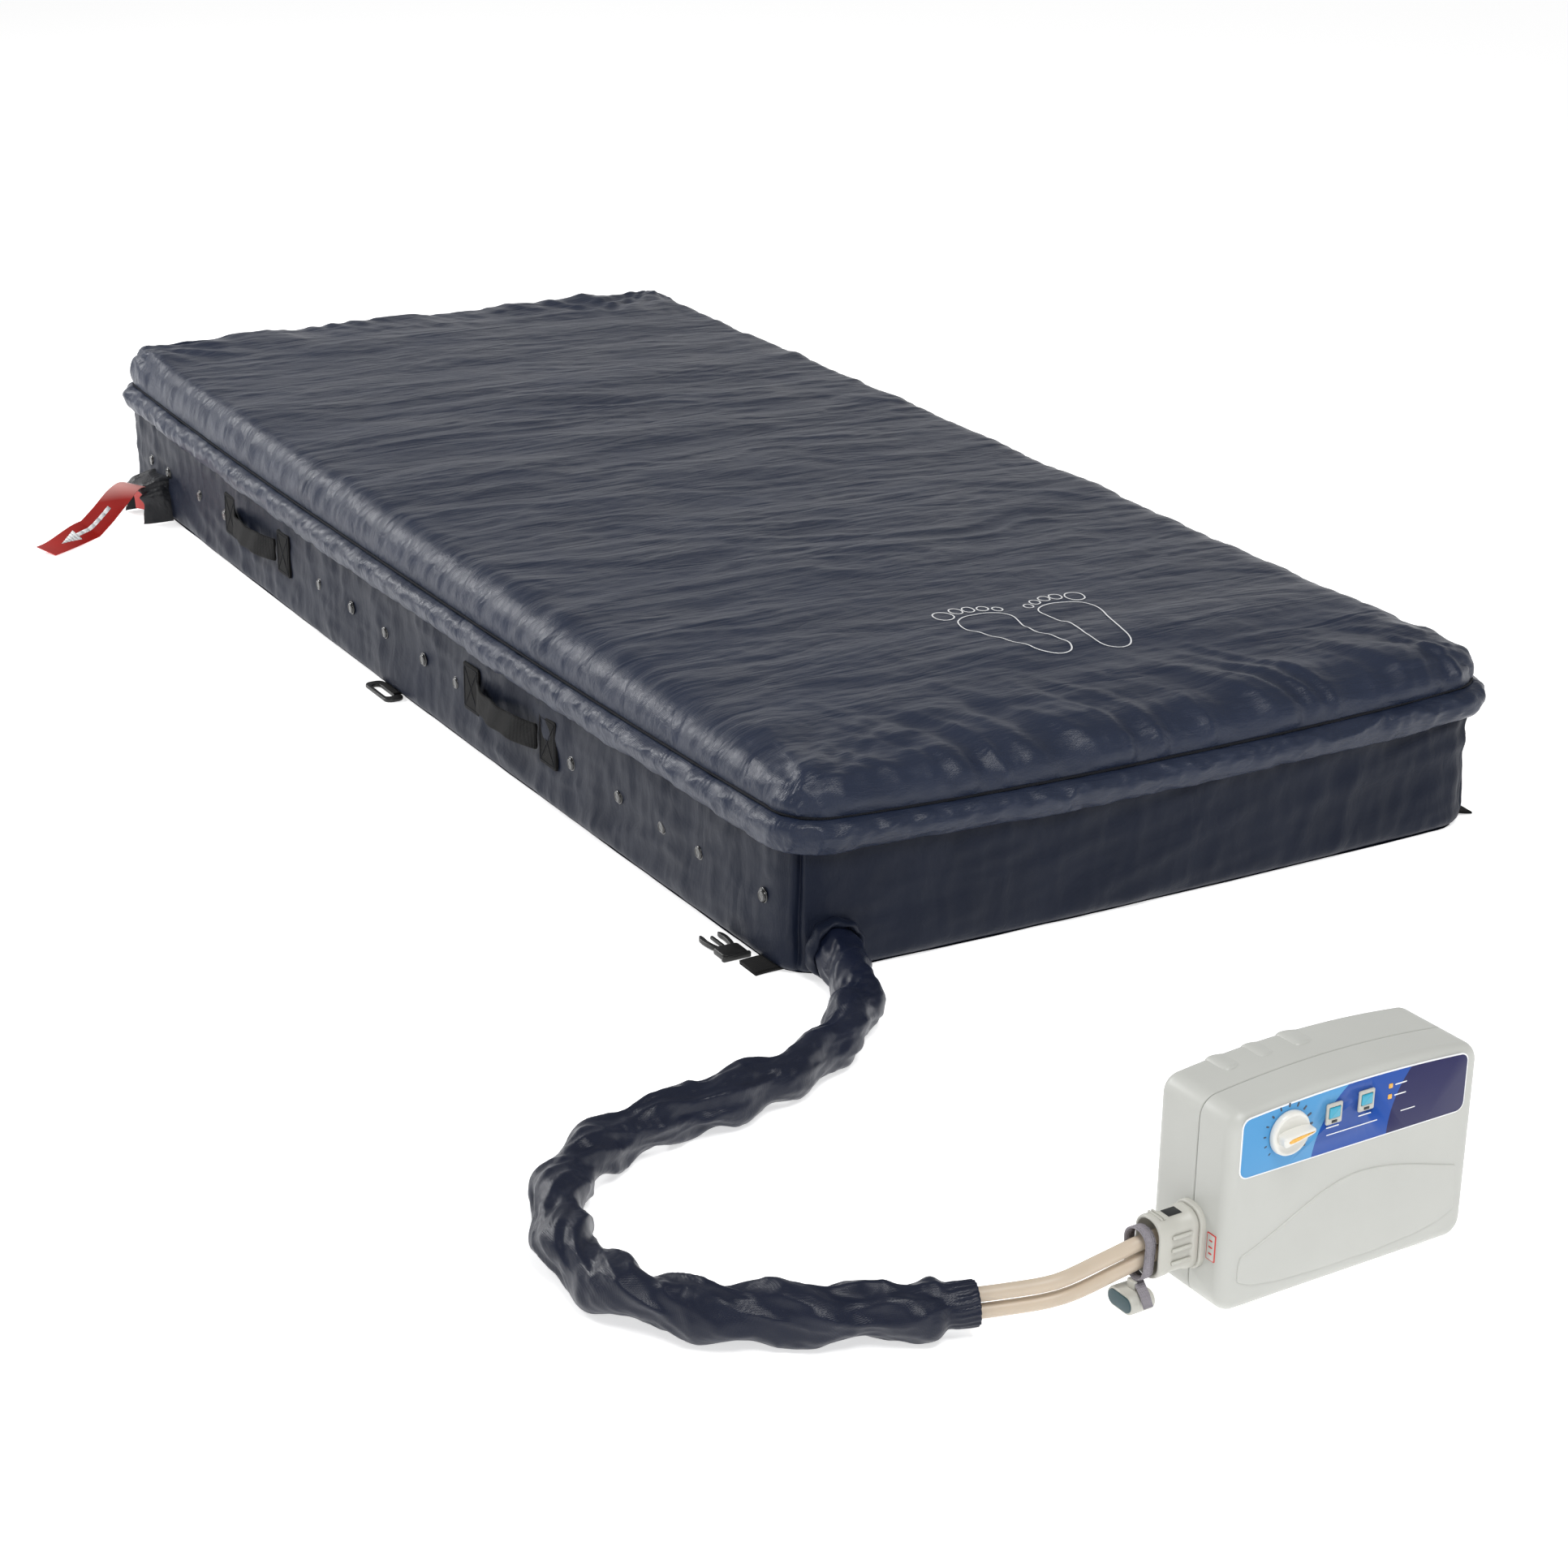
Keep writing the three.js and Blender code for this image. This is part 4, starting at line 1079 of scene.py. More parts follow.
def add_filling():
    """Foam slab, sixteen air tubes and two air rails, inside the cover."""
    foam = swept("foam_slab", rounded(0.868, 1.98, 0.03, 6), "z", 0.004, 0.074, 0.006, 0.006)
    nodes = Nodes("foam_cream", srgb("d9cda6"), 0.95)
    nodes.bump((nodes.noise(900, 3), 0.0006))
    finish_piece(foam, nodes.material, "foam", ROOT, "foam_base")
    cell_material = rubber_tube("cell_pvc", srgb("39507a"))
    for i in range(CELL_COUNT):
        y = (i - (CELL_COUNT - 1) / 2) * CELL_PITCH
        rings = []
        for x in np.linspace(-0.415, 0.415, 25):
            squeeze = max(0.05, 1 - (abs(x) / 0.4152) ** 14) ** 0.5
            waist = 1 - 0.02 * math.cos(x * 30)
            outline = rounded(0.114, 0.126, 0.052, 8) * squeeze * waist
            rings.append(laid(outline + (y, 0.144), "x", x))
        cell = fix_normals(loft(f"air_tube_{i + 1:02d}", rings))
        finish_piece(cell, cell_material, "air_cell", ROOT, f"air_cell_{i + 1:02d}")
    for name, z in (("air_manifold_a", 0.088), ("air_manifold_b", 0.102)):
        ys = np.linspace(-0.95, 0.93, 60)
        path = columns(-0.444 + 0.0008 * np.sin(ys * 25), ys, z + 0.001 * np.cos(ys * 25))
        finish_piece(tube(name + "_rail", path, 0.005, 14), HOSE_BEIGE, "air_tube", ROOT, name)


def add_zip():
    """Zip tape with moulded teeth under the flap, and its slider on the right side."""
    points, normal, at, _, _ = perimeter(420)
    tooth = 0.0005 * np.sign(np.sin(at / 0.003 * math.pi))
    rings = []
    for z, out in ((0.145, 0.0006), (0.145, 0.0012), (0.1493, 0.0013), (0.1497, 0.002),
                   (0.151, 0.0024), (0.1523, 0.002), (0.1527, 0.0013), (0.1572, 0.0012),
                   (0.1572, 0.0006)):
        rise = tooth if 0.1495 < z < 0.1525 else 0.0
        rings.append(off_wall(points, normal, out + rise + 0.0004, z))
    tape = fix_normals(loft("zip_teeth_and_tape", rings, wrap=True))
    finish_piece(tape, BLACK_WEBBING, "black_plastic", ROOT, "zip_tape")
    x = wall_x(0) + 0.0048
    body = swept("slider", rounded(0.0045, 0.012, 0.002, 4, x, 0.151), "y", 0.322, 0.338,
                 0.0015, 0.0015)
    pull = swept("pull", rounded(0.008, 0.024, 0.0035, 5, 0.33, 0.133), "x", x, x + 0.0018,
                 0.0007, 0.0007)
    finish_piece(joined("zip_slider_and_pull", body, pull), STEEL, "black_plastic",
                 "zip_slider", "zip_slider")


# ------------------------------------------------------------------ side fittings


def add_side_fittings():
    """Press studs, sewn handle patches and grips on both long sides."""
    dome = [(0.0072, 0.0008), (0.0074, 0.0022), (0.0066, 0.0036), (0.005, 0.0044),
            (0.0045, 0.004), (0.0022, 0.0038), (0.0004, 0.0042)]
    washer = [(0.0088, 0.0006), (0.009, 0.0014), (0.008, 0.0019), (0.006, 0.0018)]
    for side, label in ((-1, "left"), (1, "right")):
        studs = [turned("stud", [(r, side * w) for r, w in profile],
                        (side * wall_x(y), y, STUD_Z), "x", 28)
                 for y in STUD_YS for profile in (dome, washer)]
        finish_piece(joined(f"press_studs_{label}", *studs), STUD_BLACK, "stud_black", ROOT,
                     f"side_tape_{label}")

        patches, threads = [], []
        for end, centre in HANDLES:
            for y in (centre - HANDLE_SPAN / 2, centre + HANDLE_SPAN / 2):
                x = side * wall_x(y)
                patches.append(swept("patch", rounded(HANDLE_PATCH, HANDLE_HEIGHT, 0.004, 4, y,
                                                      HANDLE_Z),
                                     "x", x + side * 0.0004, x + side * 0.0042, 0.0005, 0.0014))
                threads += cross_stitch(x + side * 0.0044, y, HANDLE_Z, side)
            add_grip(side, centre, f"{end}_{label}")
        finish_piece(joined(f"handle_patches_{label}", *patches), BLACK_WEBBING, "webbing", ROOT)
        finish_piece(joined(f"handle_stitching_{label}", *threads), SEAM_THREAD, "webbing", ROOT)


def cross_stitch(x, y, z, side):
    """Boxed cross of stitches on a sewn patch."""
    w, h = HANDLE_PATCH / 2 - 0.004, HANDLE_HEIGHT / 2 - 0.004
    corners = [(-w, -h), (w, -h), (w, h), (-w, h)]
    t = np.linspace(0, 1, 24)
    pieces = []
    for start, end in ((0, 1), (1, 2), (2, 3), (3, 0), (0, 2), (1, 3)):
        (a0, b0), (a1, b1) = corners[start], corners[end]
        centre = columns(x + side * 0.0002 * (np.sin(t * 70) > 0), y + a0 + (a1 - a0) * t,
                         z + b0 + (b1 - b0) * t)
        along = np.array([0, a1 - a0, b1 - b0])
        across = np.cross(along / np.linalg.norm(along), [1, 0, 0])
        pieces.append(ribbon("stitch", centre, across, (side, 0, 0), 0.0011, 0.0006))
    return pieces


def add_grip(side, centre, label):
    """Webbing grip bowed off the wall between its patches, its edges folded and piped."""
    t = np.linspace(-1, 1, 49)
    bow = 0.0135 * (1 - np.abs(t) ** 2.4)
    ys = centre + t * (HANDLE_SPAN / 2 - HANDLE_PATCH / 2 + 0.001)
    angle = circle(28)
    c, d = np.cos(angle), np.sin(angle)
    rings = []
    for s, y, out in zip(t, ys, bow):
        half = 0.0165 + 0.0008 * math.sin(s * 9)
        height = half * np.copysign(np.abs(c) ** 0.55, c)
        pipe = 1 + 0.9 * np.exp(-((np.abs(height) - half) / 0.004) ** 2)
        thick = 0.0014 * pipe * np.copysign(np.abs(d) ** 0.6, d)
        wave = 0.0009 * np.sin(s * 11 + height * 90)
        rings.append(columns(side * (wall_x(y) + 0.0062 + out + thick + wave), y,
                             HANDLE_Z + height - 0.001 * (1 - s * s)))
    grip = subdivide(sharpen(fix_normals(loft(f"grip_{label}", rings)), 60))
    finish_piece(grip, BLACK_WEBBING, "webbing", f"carry_handle_{label}",
                 f"carry_handle_{label}")


def add_straps():
    """Tab and male buckle by the foot end, slotted loops at mid length, a loose strap end."""
    across, up = (0, 1, 0), (0, 0, 1)
    x, y = -wall_x(-0.9), -0.968
    centre = np.array([(x + 0.012, y, 0.004), (x - 0.004, y, 0.0042), (x - 0.014, y, 0.004),
                       (x - 0.024, y, 0.0034)])
    tab = ribbon("tab", centre, across, up, 0.036, 0.0034)
    fold = ribbon("tab_fold", centre - (0, 0, 0.0022), across, up, 0.034, 0.0016)
    finish_piece(joined("foot_tab", tab, fold), BLACK_WEBBING, "webbing", ROOT,
                 "strap_foot_left")

    x -= 0.021
    parts = [swept(name, rounded(width, length, radius, n, x, y), "z", z0, z1, r0, r1)
             for name, width, length, radius, n, y, z0, z1, r0, r1 in (
                 ("body", 0.03, 0.026, 0.005, 5, -0.926, 0.0004, 0.0072, 0.001, 0.002),
                 ("bar", 0.034, 0.006, 0.0025, 4, -0.9385, 0.0006, 0.0066, 0.001, 0.0015),
                 ("tongue", 0.004, 0.03, 0.0018, 4, -0.899, 0.002, 0.0054, 0.0008, 0.0008))]
    prong = [(0.006, -0.914), (0.0125, -0.914), (0.0155, -0.895), (0.015, -0.884),
             (0.0105, -0.877), (0.0085, -0.884), (0.0098, -0.893), (0.0085, -0.905)]
    for way in (-1, 1):
        outline = chaikin([(x + way * dx, y) for dx, y in prong][::way])
        parts.append(swept("prong", outline, "z", 0.0012, 0.0062, 0.0008, 0.0012))
    finish_piece(joined("side_release_buckle", *parts), BLACK_PLASTIC, "black_plastic", ROOT,
                 "buckle_foot_left")

    for side, label in ((-1, "left"), (1, "right")):
        x, y = side * 0.4803, -0.018
        loop = frame_plate("loop", rounded(0.026, 0.076, 0.01, 8, x, y),
                           rounded(0.011, 0.05, 0.005, 8, x + side * 0.002, y), 0.0004, 0.0048)
        strap = ribbon("loop_strap", [(x - side * 0.02, y, 0.003), (x - side * 0.01, y, 0.0058),
                                      (x - side * 0.004, y, 0.006)], across, up, 0.046, 0.0022)
        paint(strap, BLACK_WEBBING)
        piece = joined(f"strap_slot_{label}", paint(loop, BLACK_PLASTIC), strap)
        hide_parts(f"strap_loop_{label}")
        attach(piece, ROOT)

    x = wall_x(-0.968)
    end = ribbon("right_strap_end", [(x - 0.012, -0.972, 0.004), (x + 0.004, -0.974, 0.0046),
                                     (x + 0.012, -0.976, 0.0034), (x + 0.02, -0.978, 0.0026)],
                 (0.1, 1, 0), up, 0.034, 0.0028)
    finish_piece(end, BLACK_WEBBING, "webbing", ROOT)


def frame_plate(name, outer, inner, z0, z1):
    """Flat ring between two outlines of the same point count, rounded edges."""
    rings = [laid(offset_in(outer, inset), "z", z) for inset, z in edge_steps(z0, z1, *PLATE_EDGE)]
    rings += [laid(offset_in(inner, -inset), "z", z)
              for inset, z in edge_steps(z1, z0, *PLATE_EDGE)]
    return sharpen(fix_normals(loft(name, rings, wrap=True)), 50)


# ------------------------------------------------------------------ quick-deflate corner

TAG_PROFILE = [(0.000, 0.012), (0.004, 0.034), (0.016, 0.053), (0.036, 0.057), (0.064, 0.047),
               (0.108, 0.025), (0.15, 0.009), (0.2, 0.004), (0.238, 0.003)]


def add_quick_deflate():
    """Hood, small buckle, valve, and the red pull tag with its arrow, at the head end."""
    wall = -wall_x(0.826) - 0.0003
    rings = []
    for share in np.linspace(0, 1, 15):
        edge = 1 - 0.1 * share ** 3
        section = []
        for a in np.linspace(-0.12, math.pi + 0.12, 41):
            c, d = math.cos(a), math.sin(a)
            y = CPR_Y + 0.043 * edge * math.copysign(abs(c) ** 0.42, c)
            z = 0.004 + 0.062 * (1 - 0.28 * share ** 2) * d ** 0.36 if d > 0 else 0.002
            crumple_at = np.array([[y * 60, z * 60, share * 1.6]])
            crease = (0.004 * (ridges(crumple_at, 2, 151)[0] - 0.5)
                      + 0.0022 * math.sin(a * 7 + share * 3))
            section.append((wall - 0.044 * share - crease * (0.3 + share),
                            y + crease * c * 0.8, z + crease * max(d, 0) * 0.8))
        rings.append(np.array(section))
    lining = [ring + ((wall, CPR_Y, 0.02) - ring) * (0.0, 0.05, 0.06) for ring in rings[::-1]]
    shell = rings + lining
    hood = subdivide(new_mesh("deflate_hood", np.concatenate(shell),
                              grid_faces(len(shell), len(shell[0]))))
    hood_material = nylon("hood_nylon", srgb("17181c"), 0.36, (1, 1, 1), 0.0008)
    finish_piece(hood, hood_material, "webbing", ROOT, "cpr_hood")

    small = frame_plate("deflate_buckle", rounded(0.02, 0.016, 0.004, 6),
                        rounded(0.012, 0.007, 0.002, 6), 0, 0.004)
    small.matrix_world = (Matrix.Translation((-wall_x(0.826) - 0.047, 0.905, 0.02))
                          @ Matrix.Rotation(math.radians(-90), 4, "Y")
                          @ Matrix.Rotation(0.3, 4, "Z"))
    bpy.context.view_layer.update()
    finish_piece(joined("deflate_hood_buckle", small), CONNECTOR_GREY, "grey_plastic", ROOT)

    turn = math.radians(211)
    direction = np.array([math.cos(turn), math.sin(turn), 0])
    across = np.array([-math.sin(turn), math.cos(turn), 0])
    profile = resample(catmull_rom([(0.93 * a, 0, b) for a, b in TAG_PROFILE], 10), 90,
                       closed=False)
    share = np.linspace(0, 1, len(profile))
    centre = ((wall - 0.0284, CPR_Y, 0) + profile[:, :1] * direction
              + profile[:, 2:] * (0, 0, 1.0))
    run = np.gradient(centre, axis=0)
    run /= np.linalg.norm(run, axis=1)[:, None]
    tilt = 0.72 * smoothstep(0.16, 0.42, share) * (1 - 0.72 * smoothstep(0.62, 0.98, share))
    ups = np.cross(run, across)
    ups *= np.sign(ups[:, 2:] + 1e-6)
    sides = across * np.cos(tilt)[:, None] - ups * np.sin(tilt)[:, None]
    ups = ups * np.cos(tilt)[:, None] + across * np.sin(tilt)[:, None]
    centre[:, 2] = np.maximum(centre[:, 2], 0.0016 + 0.0185 * np.sin(tilt))
    tag = ribbon("pull_tag", centre, sides, ups, 0.036, 0.0013)
    finish_piece(tag, RED_TAG, "red_tag", "cpr_release", "cpr_tag")

    def on_tag(share, offset, lift):
        k = share * (len(centre) - 1)
        i = int(min(k, len(centre) - 2))
        f = k - i
        return centre[i] * (1 - f) + centre[i + 1] * f + sides[i] * offset + ups[i] * lift

    def mark(a0, a1, w0, w1):
        """Thin white mark along the tag from a0 to a1, as wide as w0 and w1 either way."""
        corners = [(a0, -w0), (a1, -w1), (a1, w1), (a0, w0)]
        rings = [[on_tag(a, b, lift) for a, b in corners] for lift in (0.0005, 0.0008)]
        return fix_normals(loft("mark", rings, smooth=False))

    shaft = [mark(0.44 + k * 0.05, 0.49 + k * 0.05, 0.003, 0.003) for k in range(6)]
    head = [mark(0.74 + k * 0.022, 0.762 + k * 0.022, 0.01 * (1 - k / 6),
                 0.01 * (1 - (k + 1) / 6) + 0.0002) for k in range(6)]
    finish_piece(joined("tag_arrow", *shaft, *head), WHITE_PRINT, "red_tag", "cpr_release")

    steps = [(0.014, 0.0005), (0.014, 0.006), (0.011, 0.008), (0.011, 0.018), (0.0085, 0.02),
             (0.0085, 0.022)]
    valve = turned("valve", [(r, wall - out) for r, out in steps], (0, CPR_Y, 0.034), "x", 32)
    finish_piece(valve, CONNECTOR_GREY, "grey_plastic", ROOT, "cpr_valve_body")
    paint(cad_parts["cpr_plug"], CONNECTOR_GREY)


def add_sleeve_mouth():
    """Folded band of cover fabric round the sleeve where it leaves the foot wall."""
    angle = circle(60)
    cx, _, cz = HOSE_ROUTE[0]
    rings = []
    for a in circle(14):
        r = 0.0298 + 0.0042 * math.cos(a) + 0.0012 * np.sin(angle * 9 + a)
        y = -1.0245 + 0.009 * math.sin(a) + 0.002 * np.sin(angle * 4)
        rings.append(columns(cx + r * np.cos(angle), y,
                             np.maximum(cz + r * np.sin(angle), 0.0015)))
    band = subdivide(fix_normals(loft("sleeve_mouth_band", rings, wrap=True)))
    finish_piece(band, WALL_NYLON, "cover_walls", ROOT, "sleeve_collar")


# ------------------------------------------------------------------ pump, in its own axes


def pump_outline(inset=0.0):
    """Front outline of the pump: rounded corners and a gently arched top."""
    left, right = inset, PUMP_WIDTH - inset
    bottom, shoulder = FOOT_HEIGHT + inset, PUMP_HEIGHT - PUMP_ARCH - inset
    r = max(PUMP_CORNER_RADIUS - inset, 0.002)
    t = np.linspace(0, 1, 25)[1:-1]
    arch = columns((right - r) * (1 - t) + (left + r) * t, shoulder + PUMP_ARCH * 4 * t * (1 - t))
    return arched(left, right, bottom, shoulder, r, arch, 10, 260)


def arched(left, right, bottom, shoulder, r, arch, steps, count):
    """Rounded outline whose top edge runs through the arch's points."""
    return resample(np.vstack([
        arc_points(right - r, bottom + r, r, -90, steps),
        arc_points(right - r, shoulder - r, r, 0, steps),
        arch, arc_points(left + r, shoulder - r, r, 90, steps),
        arc_points(left + r, bottom + r, r, 180, steps)]), count)


def pump_piece(piece, material, slot, body, *nodes):
    in_pump(piece)
    return finish_piece(piece, material, slot, body, *nodes)


def add_pump_shells():
    """Both half shells, a near-black core of painted shade in the groove between them, the vents as
    plates of painted shade, and the back's screws.
    """
    front = swept("pump_front", pump_outline(), "y", 0.0, PARTING_Y - 0.0004, 0.012, 0.0012, 8)
    t = np.linspace(0, 1, 30)
    crest = 0.086 + 0.017 * np.sin((t - 0.12) * math.pi * 1.35) - 0.02 * smoothstep(0.45, 1, t)
    relief_shape = np.vstack([[(0.016, 0.02), (0.257, 0.02), (0.257, 0.06)],
                              columns(0.257 - 0.241 * t, crest)])
    relief = swept("front_relief", resample(chaikin(relief_shape), 180), "y",
                   0.0006, -0.0012, 0.0, 0.0011, 4)
    # painted shade: a near-black core inset in the parting gap stands in for the shade between the
    # shells
    gap_shade = swept("parting_gap_shade", pump_outline(0.0016), "y", PARTING_Y - 0.002,
                   PARTING_Y + 0.002, 0.0002, 0.0002, 1)
    front = joined("pump_front_half", cut_pockets(front, button_pockets(0.006)), relief)
    pump_piece(sharpen(front, 40), PUMP_GREY, "pump_shell", "pump", "pump_front_shell")
    pump_piece(gap_shade, SCREW_BLACK_AND_SLOT_SHADE, "black_plastic", "pump")

    rear = swept("pump_rear", pump_outline(), "y", PARTING_Y + 0.0004, PUMP_DEPTH, 0.0012,
                 0.011, 8)
    ramp = [(-0.002, -0.008), (0.044, -0.008), (0.042, 0.004), (0.026, 0.0074),
            (0.01, 0.0108), (0.001, 0.01), (-0.002, 0.004)]
    ramps = [swept("ramp", resample(chaikin(moved(
        np.array(ramp), 0.044 + i * 0.038, PUMP_HEIGHT - PUMP_ARCH - 0.005 + i * 0.0018), 3), 70),
        "y", 0.062, 0.0945, 0.006, 0.008, 7) for i in range(3)]
    rear = joined("pump_rear_half", rear, *ramps)
    pump_piece(sharpen(rear, 40), PUMP_GREY, "pump_shell", "pump", "pump_rear_shell")
    # painted shade: the vents are near-black plates on the back standing in for the shade in the
    # vent slots; the screws share the near-black
    vent_shades = [swept("vent_shade", rounded(0.0035, 0.034, 0.0017, 4, 0.104 + 0.0085 * k, 0.048), "y",
                   PUMP_DEPTH - 0.001, PUMP_DEPTH + 0.0002, 0.0001, 0.0001, 1) for k in range(9)]
    screws = [screw((x, PUMP_DEPTH, z), ((0.0042, -0.001), (0.0042, 0.0003), (0.0026, 0.0005),
                                         (0.0024, -0.0004)), 24)
              for x, z in ((0.022, 0.026), (0.251, 0.076), (0.022, 0.172), (0.251, 0.172))]
    pump_piece(joined("vent_shade_and_screws", *vent_shades, *screws), SCREW_BLACK_AND_SLOT_SHADE, "black_plastic", "pump")


def screw(place, profile, sides):
    """Screw head facing backwards; profile is (radius, how far out of the back)."""
    x, y, z = place
    return turned("screw", [(r, y + out) for r, out in profile], (x, 0, z), "y", sides)


def label_outline(inset):
    """Overlay outline: straight foot, top edge following the arch, rounded corners."""
    left, right, bottom, r = 0.01 + inset, 0.258 - inset, 0.13 + inset, 0.009 - inset
    x = np.concatenate([[right - r], np.linspace(right - r, left + r, 30)[1:-1]])
    z = 0.1855 - inset + 0.0055 * (1 - ((x - 0.134) / 0.124) ** 2)
    return arched(left, right, bottom, z[0], r, columns(x, z)[1:], 8, 240)


def plate(outline, y0, y1, r=0.0001):
    return swept("plate", outline, "y", y0, y1, 0.0, r, 2)


def button_pockets(depth):
    """Cutters for the buttons' openings, down to a depth."""
    return [swept("pocket", rounded(0.0128, 0.0108, 0.001, 6, x, z + 0.0004), "y",
                  -0.01, depth, 0.0, 0.0, 1) for _, x, z in BUTTONS]


def add_control_panel():
    """Printed overlay, scale marks, bezels, buttons, lamps and the pressure knob."""
    for name, inset, y0, y1, r, material, nodes in (
            ("overlay_border", 0, 0.0006, -0.0004, 0.0002, WHITE_PRINT, ()),
            ("overlay_face", 0.0013, 0.0, -0.0006, 0.0001, OVERLAY, ("control_panel",))):
        sheet = cut_pockets(plate(label_outline(inset), y0, y1, r), button_pockets(0.004))
        pump_piece(joined(name, sheet), material, "panel_blue", "pump", *nodes)

    ticks = []
    for k in range(13):
        angle = math.radians(222 - k * 22)
        size = 0.001 + 0.00009 * k
        bar = rounded(size * 1.2, size * 2.6, size * 0.5, 3)
        c, s = math.cos(angle - math.pi / 2), math.sin(angle - math.pi / 2)
        bar = moved(bar @ np.array([[c, s], [-s, c]]), KNOB_AT[0] + 0.0244 * math.cos(angle),
                    KNOB_AT[1] + 0.0244 * math.sin(angle))
        ticks.append(plate(bar, *PRINT_LEVELS))
    pump_piece(joined("scale_marks", *ticks), GREY_PRINT, "panel_blue", "pump")
    lines = [(0.13, 0.1475, 0.056, 0.0009, 0.0004), (0.192, 0.149, 0.016, 0.0009, 0.0004),
             (0.108, 0.1545, 0.014, 0.0011, 0.0005), (0.143, 0.1565, 0.014, 0.0011, 0.0005)]
    lines += [(0.1815, z, 0.013, 0.0011, 0.0005) for z in LAMP_ZS]
    prints = [plate(rounded(w, h, r, 2, x, z), *PRINT_LEVELS) for x, z, w, h, r in lines]
    pump_piece(joined("overlay_marks", *prints), WHITE_PRINT, "panel_blue", "pump")

    for name, x, z in BUTTONS:
        outer = rounded(0.0172, 0.0192, 0.0016, 6)
        inner = rounded(0.0128, 0.0108, 0.001, 6, x, z + 0.0004)
        rings = [laid(moved(outline, x, z - 0.0008), "y", y) for outline, y in (
            (outer, -0.0004), (outer, -0.0016), (offset_in(outer, 0.0008), -0.0024))]
        rings += [laid(inner, "y", y) for y in (-0.0022, 0.001)]
        bezel = sharpen(fix_normals(loft(name + "_bezel", rings, wrap=True)), 30)
        pump_piece(bezel, CONNECTOR_GREY, "grey_plastic", "pump")
        # painted shade: a near-black plate at the bottom of each button's pocket, and one on the
        # bezel below the button, stand in for the shade in the well and the slot
        well_shade = plate(rounded(0.0126, 0.0106, 0.002, 5, x, z + 0.0004), 0.0058, 0.005)
        pump_piece(joined(name + "_well_shade", well_shade), SCREW_BLACK_AND_SLOT_SHADE, "black_plastic", "pump")
        slot_shade = plate(rounded(0.006, 0.0024, 0.0004, 2, x, z - 0.0078), -0.0016, -0.0026)
        pump_piece(joined(name + "_slot", slot_shade), SCREW_BLACK_AND_SLOT_SHADE, "black_plastic", "pump")
        cap = swept("cap", rounded(0.0118, 0.0098, 0.001, 5, x, z + 0.0003), "y",
                    0.0028, -0.0032, 0.0002, 0.0011, 4)
        pump_piece(joined(name + "_cap", cap), TEAL, "teal_button", name, name)

    lenses = [swept("lens", rounded(0.0044, 0.0044, 0.0009, 4, LAMP_X, z), "y",
                    0.0002, -0.0014, 0.0001, 0.0008, 3) for z in LAMP_ZS]
    pump_piece(joined("lamp_lenses", *lenses), AMBER, "amber_lens", "pump", "indicator_lens")

    kx, kz = KNOB_AT
    disc = turned("knob", [(0.017, -0.0008), (0.0198, -0.001), (0.0202, -0.0022),
                           (0.0198, -0.0052), (0.0188, -0.0066), (0.0174, -0.007),
                           (0.016, -0.0064), (0.012, -0.005), (0.006, -0.0044),
                           (0.001, -0.0042)], (kx, 0, kz), "y", 72)
    c, s = math.cos(KNOB_REST), math.sin(KNOB_REST)

    def on_knob(half, count, y0, y1, r0, r1, n):
        """Bar across the knob, from the lower half of its outline."""
        outline = chaikin(half + [(x, -z) for x, z in half[::-1]])
        outline = resample(outline, count) @ np.array([[c, s], [-s, c]])
        return swept("bar", moved(outline, kx, kz), "y", y0, y1, r0, r1, n)

    grip = on_knob([(-0.015, -0.003), (-0.0125, -0.0052), (0.015, -0.0034),
                    (0.0192, -0.0022)], 60, -0.0042, -0.015, 0.0004, 0.0022, 5)
    pump_piece(joined("knob_disc_and_grip", disc, grip), KNOB_WHITE, "knob_white",
               "pressure_knob", "pressure_knob")
    pointer = on_knob([(-0.0105, -0.0026), (0.017, -0.0003)], 40, -0.0146, -0.0156,
                      0.0001, 0.0004, 3)
    pump_piece(joined("knob_pointer", pointer), AMBER, "amber_lens", "pressure_knob")
    spot = swept("spot", rounded(0.0026, 0.006, 0.0008, 3, kx + 0.019, kz + 0.0006), "y",
                 -0.004, -0.0074, 0.0001, 0.0004)
    pump_piece(joined("knob_edge_spot", spot), AMBER, "amber_lens", "pressure_knob")


def add_side_label():
    """Small red-edged label beside the connector, with plain bars for its lines."""
    y, z = 0.0158, 0.064
    layers = [(0.011, 0.025, 0.001, 4, z, 0.0004, -0.0006, RED_PRINT),
              (0.0092, 0.0232, 0.001, 4, z, 0.0004, -0.0008, PUMP_GREY)]
    layers += [(width, 0.0016, 0.0006, 2, z + 0.006 - 0.006 * k, -0.0006, -0.00095, RED_PRINT)
               for k, width in enumerate((0.0042, 0.005, 0.0042))]
    parts = [paint(swept("layer", rounded(width, height, r, n, y, at), "x", x0, x1, 0.0,
                         0.0001, 1), material)
             for width, height, r, n, at, x0, x1, material in layers]
    label = in_pump(joined("side_label", *parts))
    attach(label, "pump")


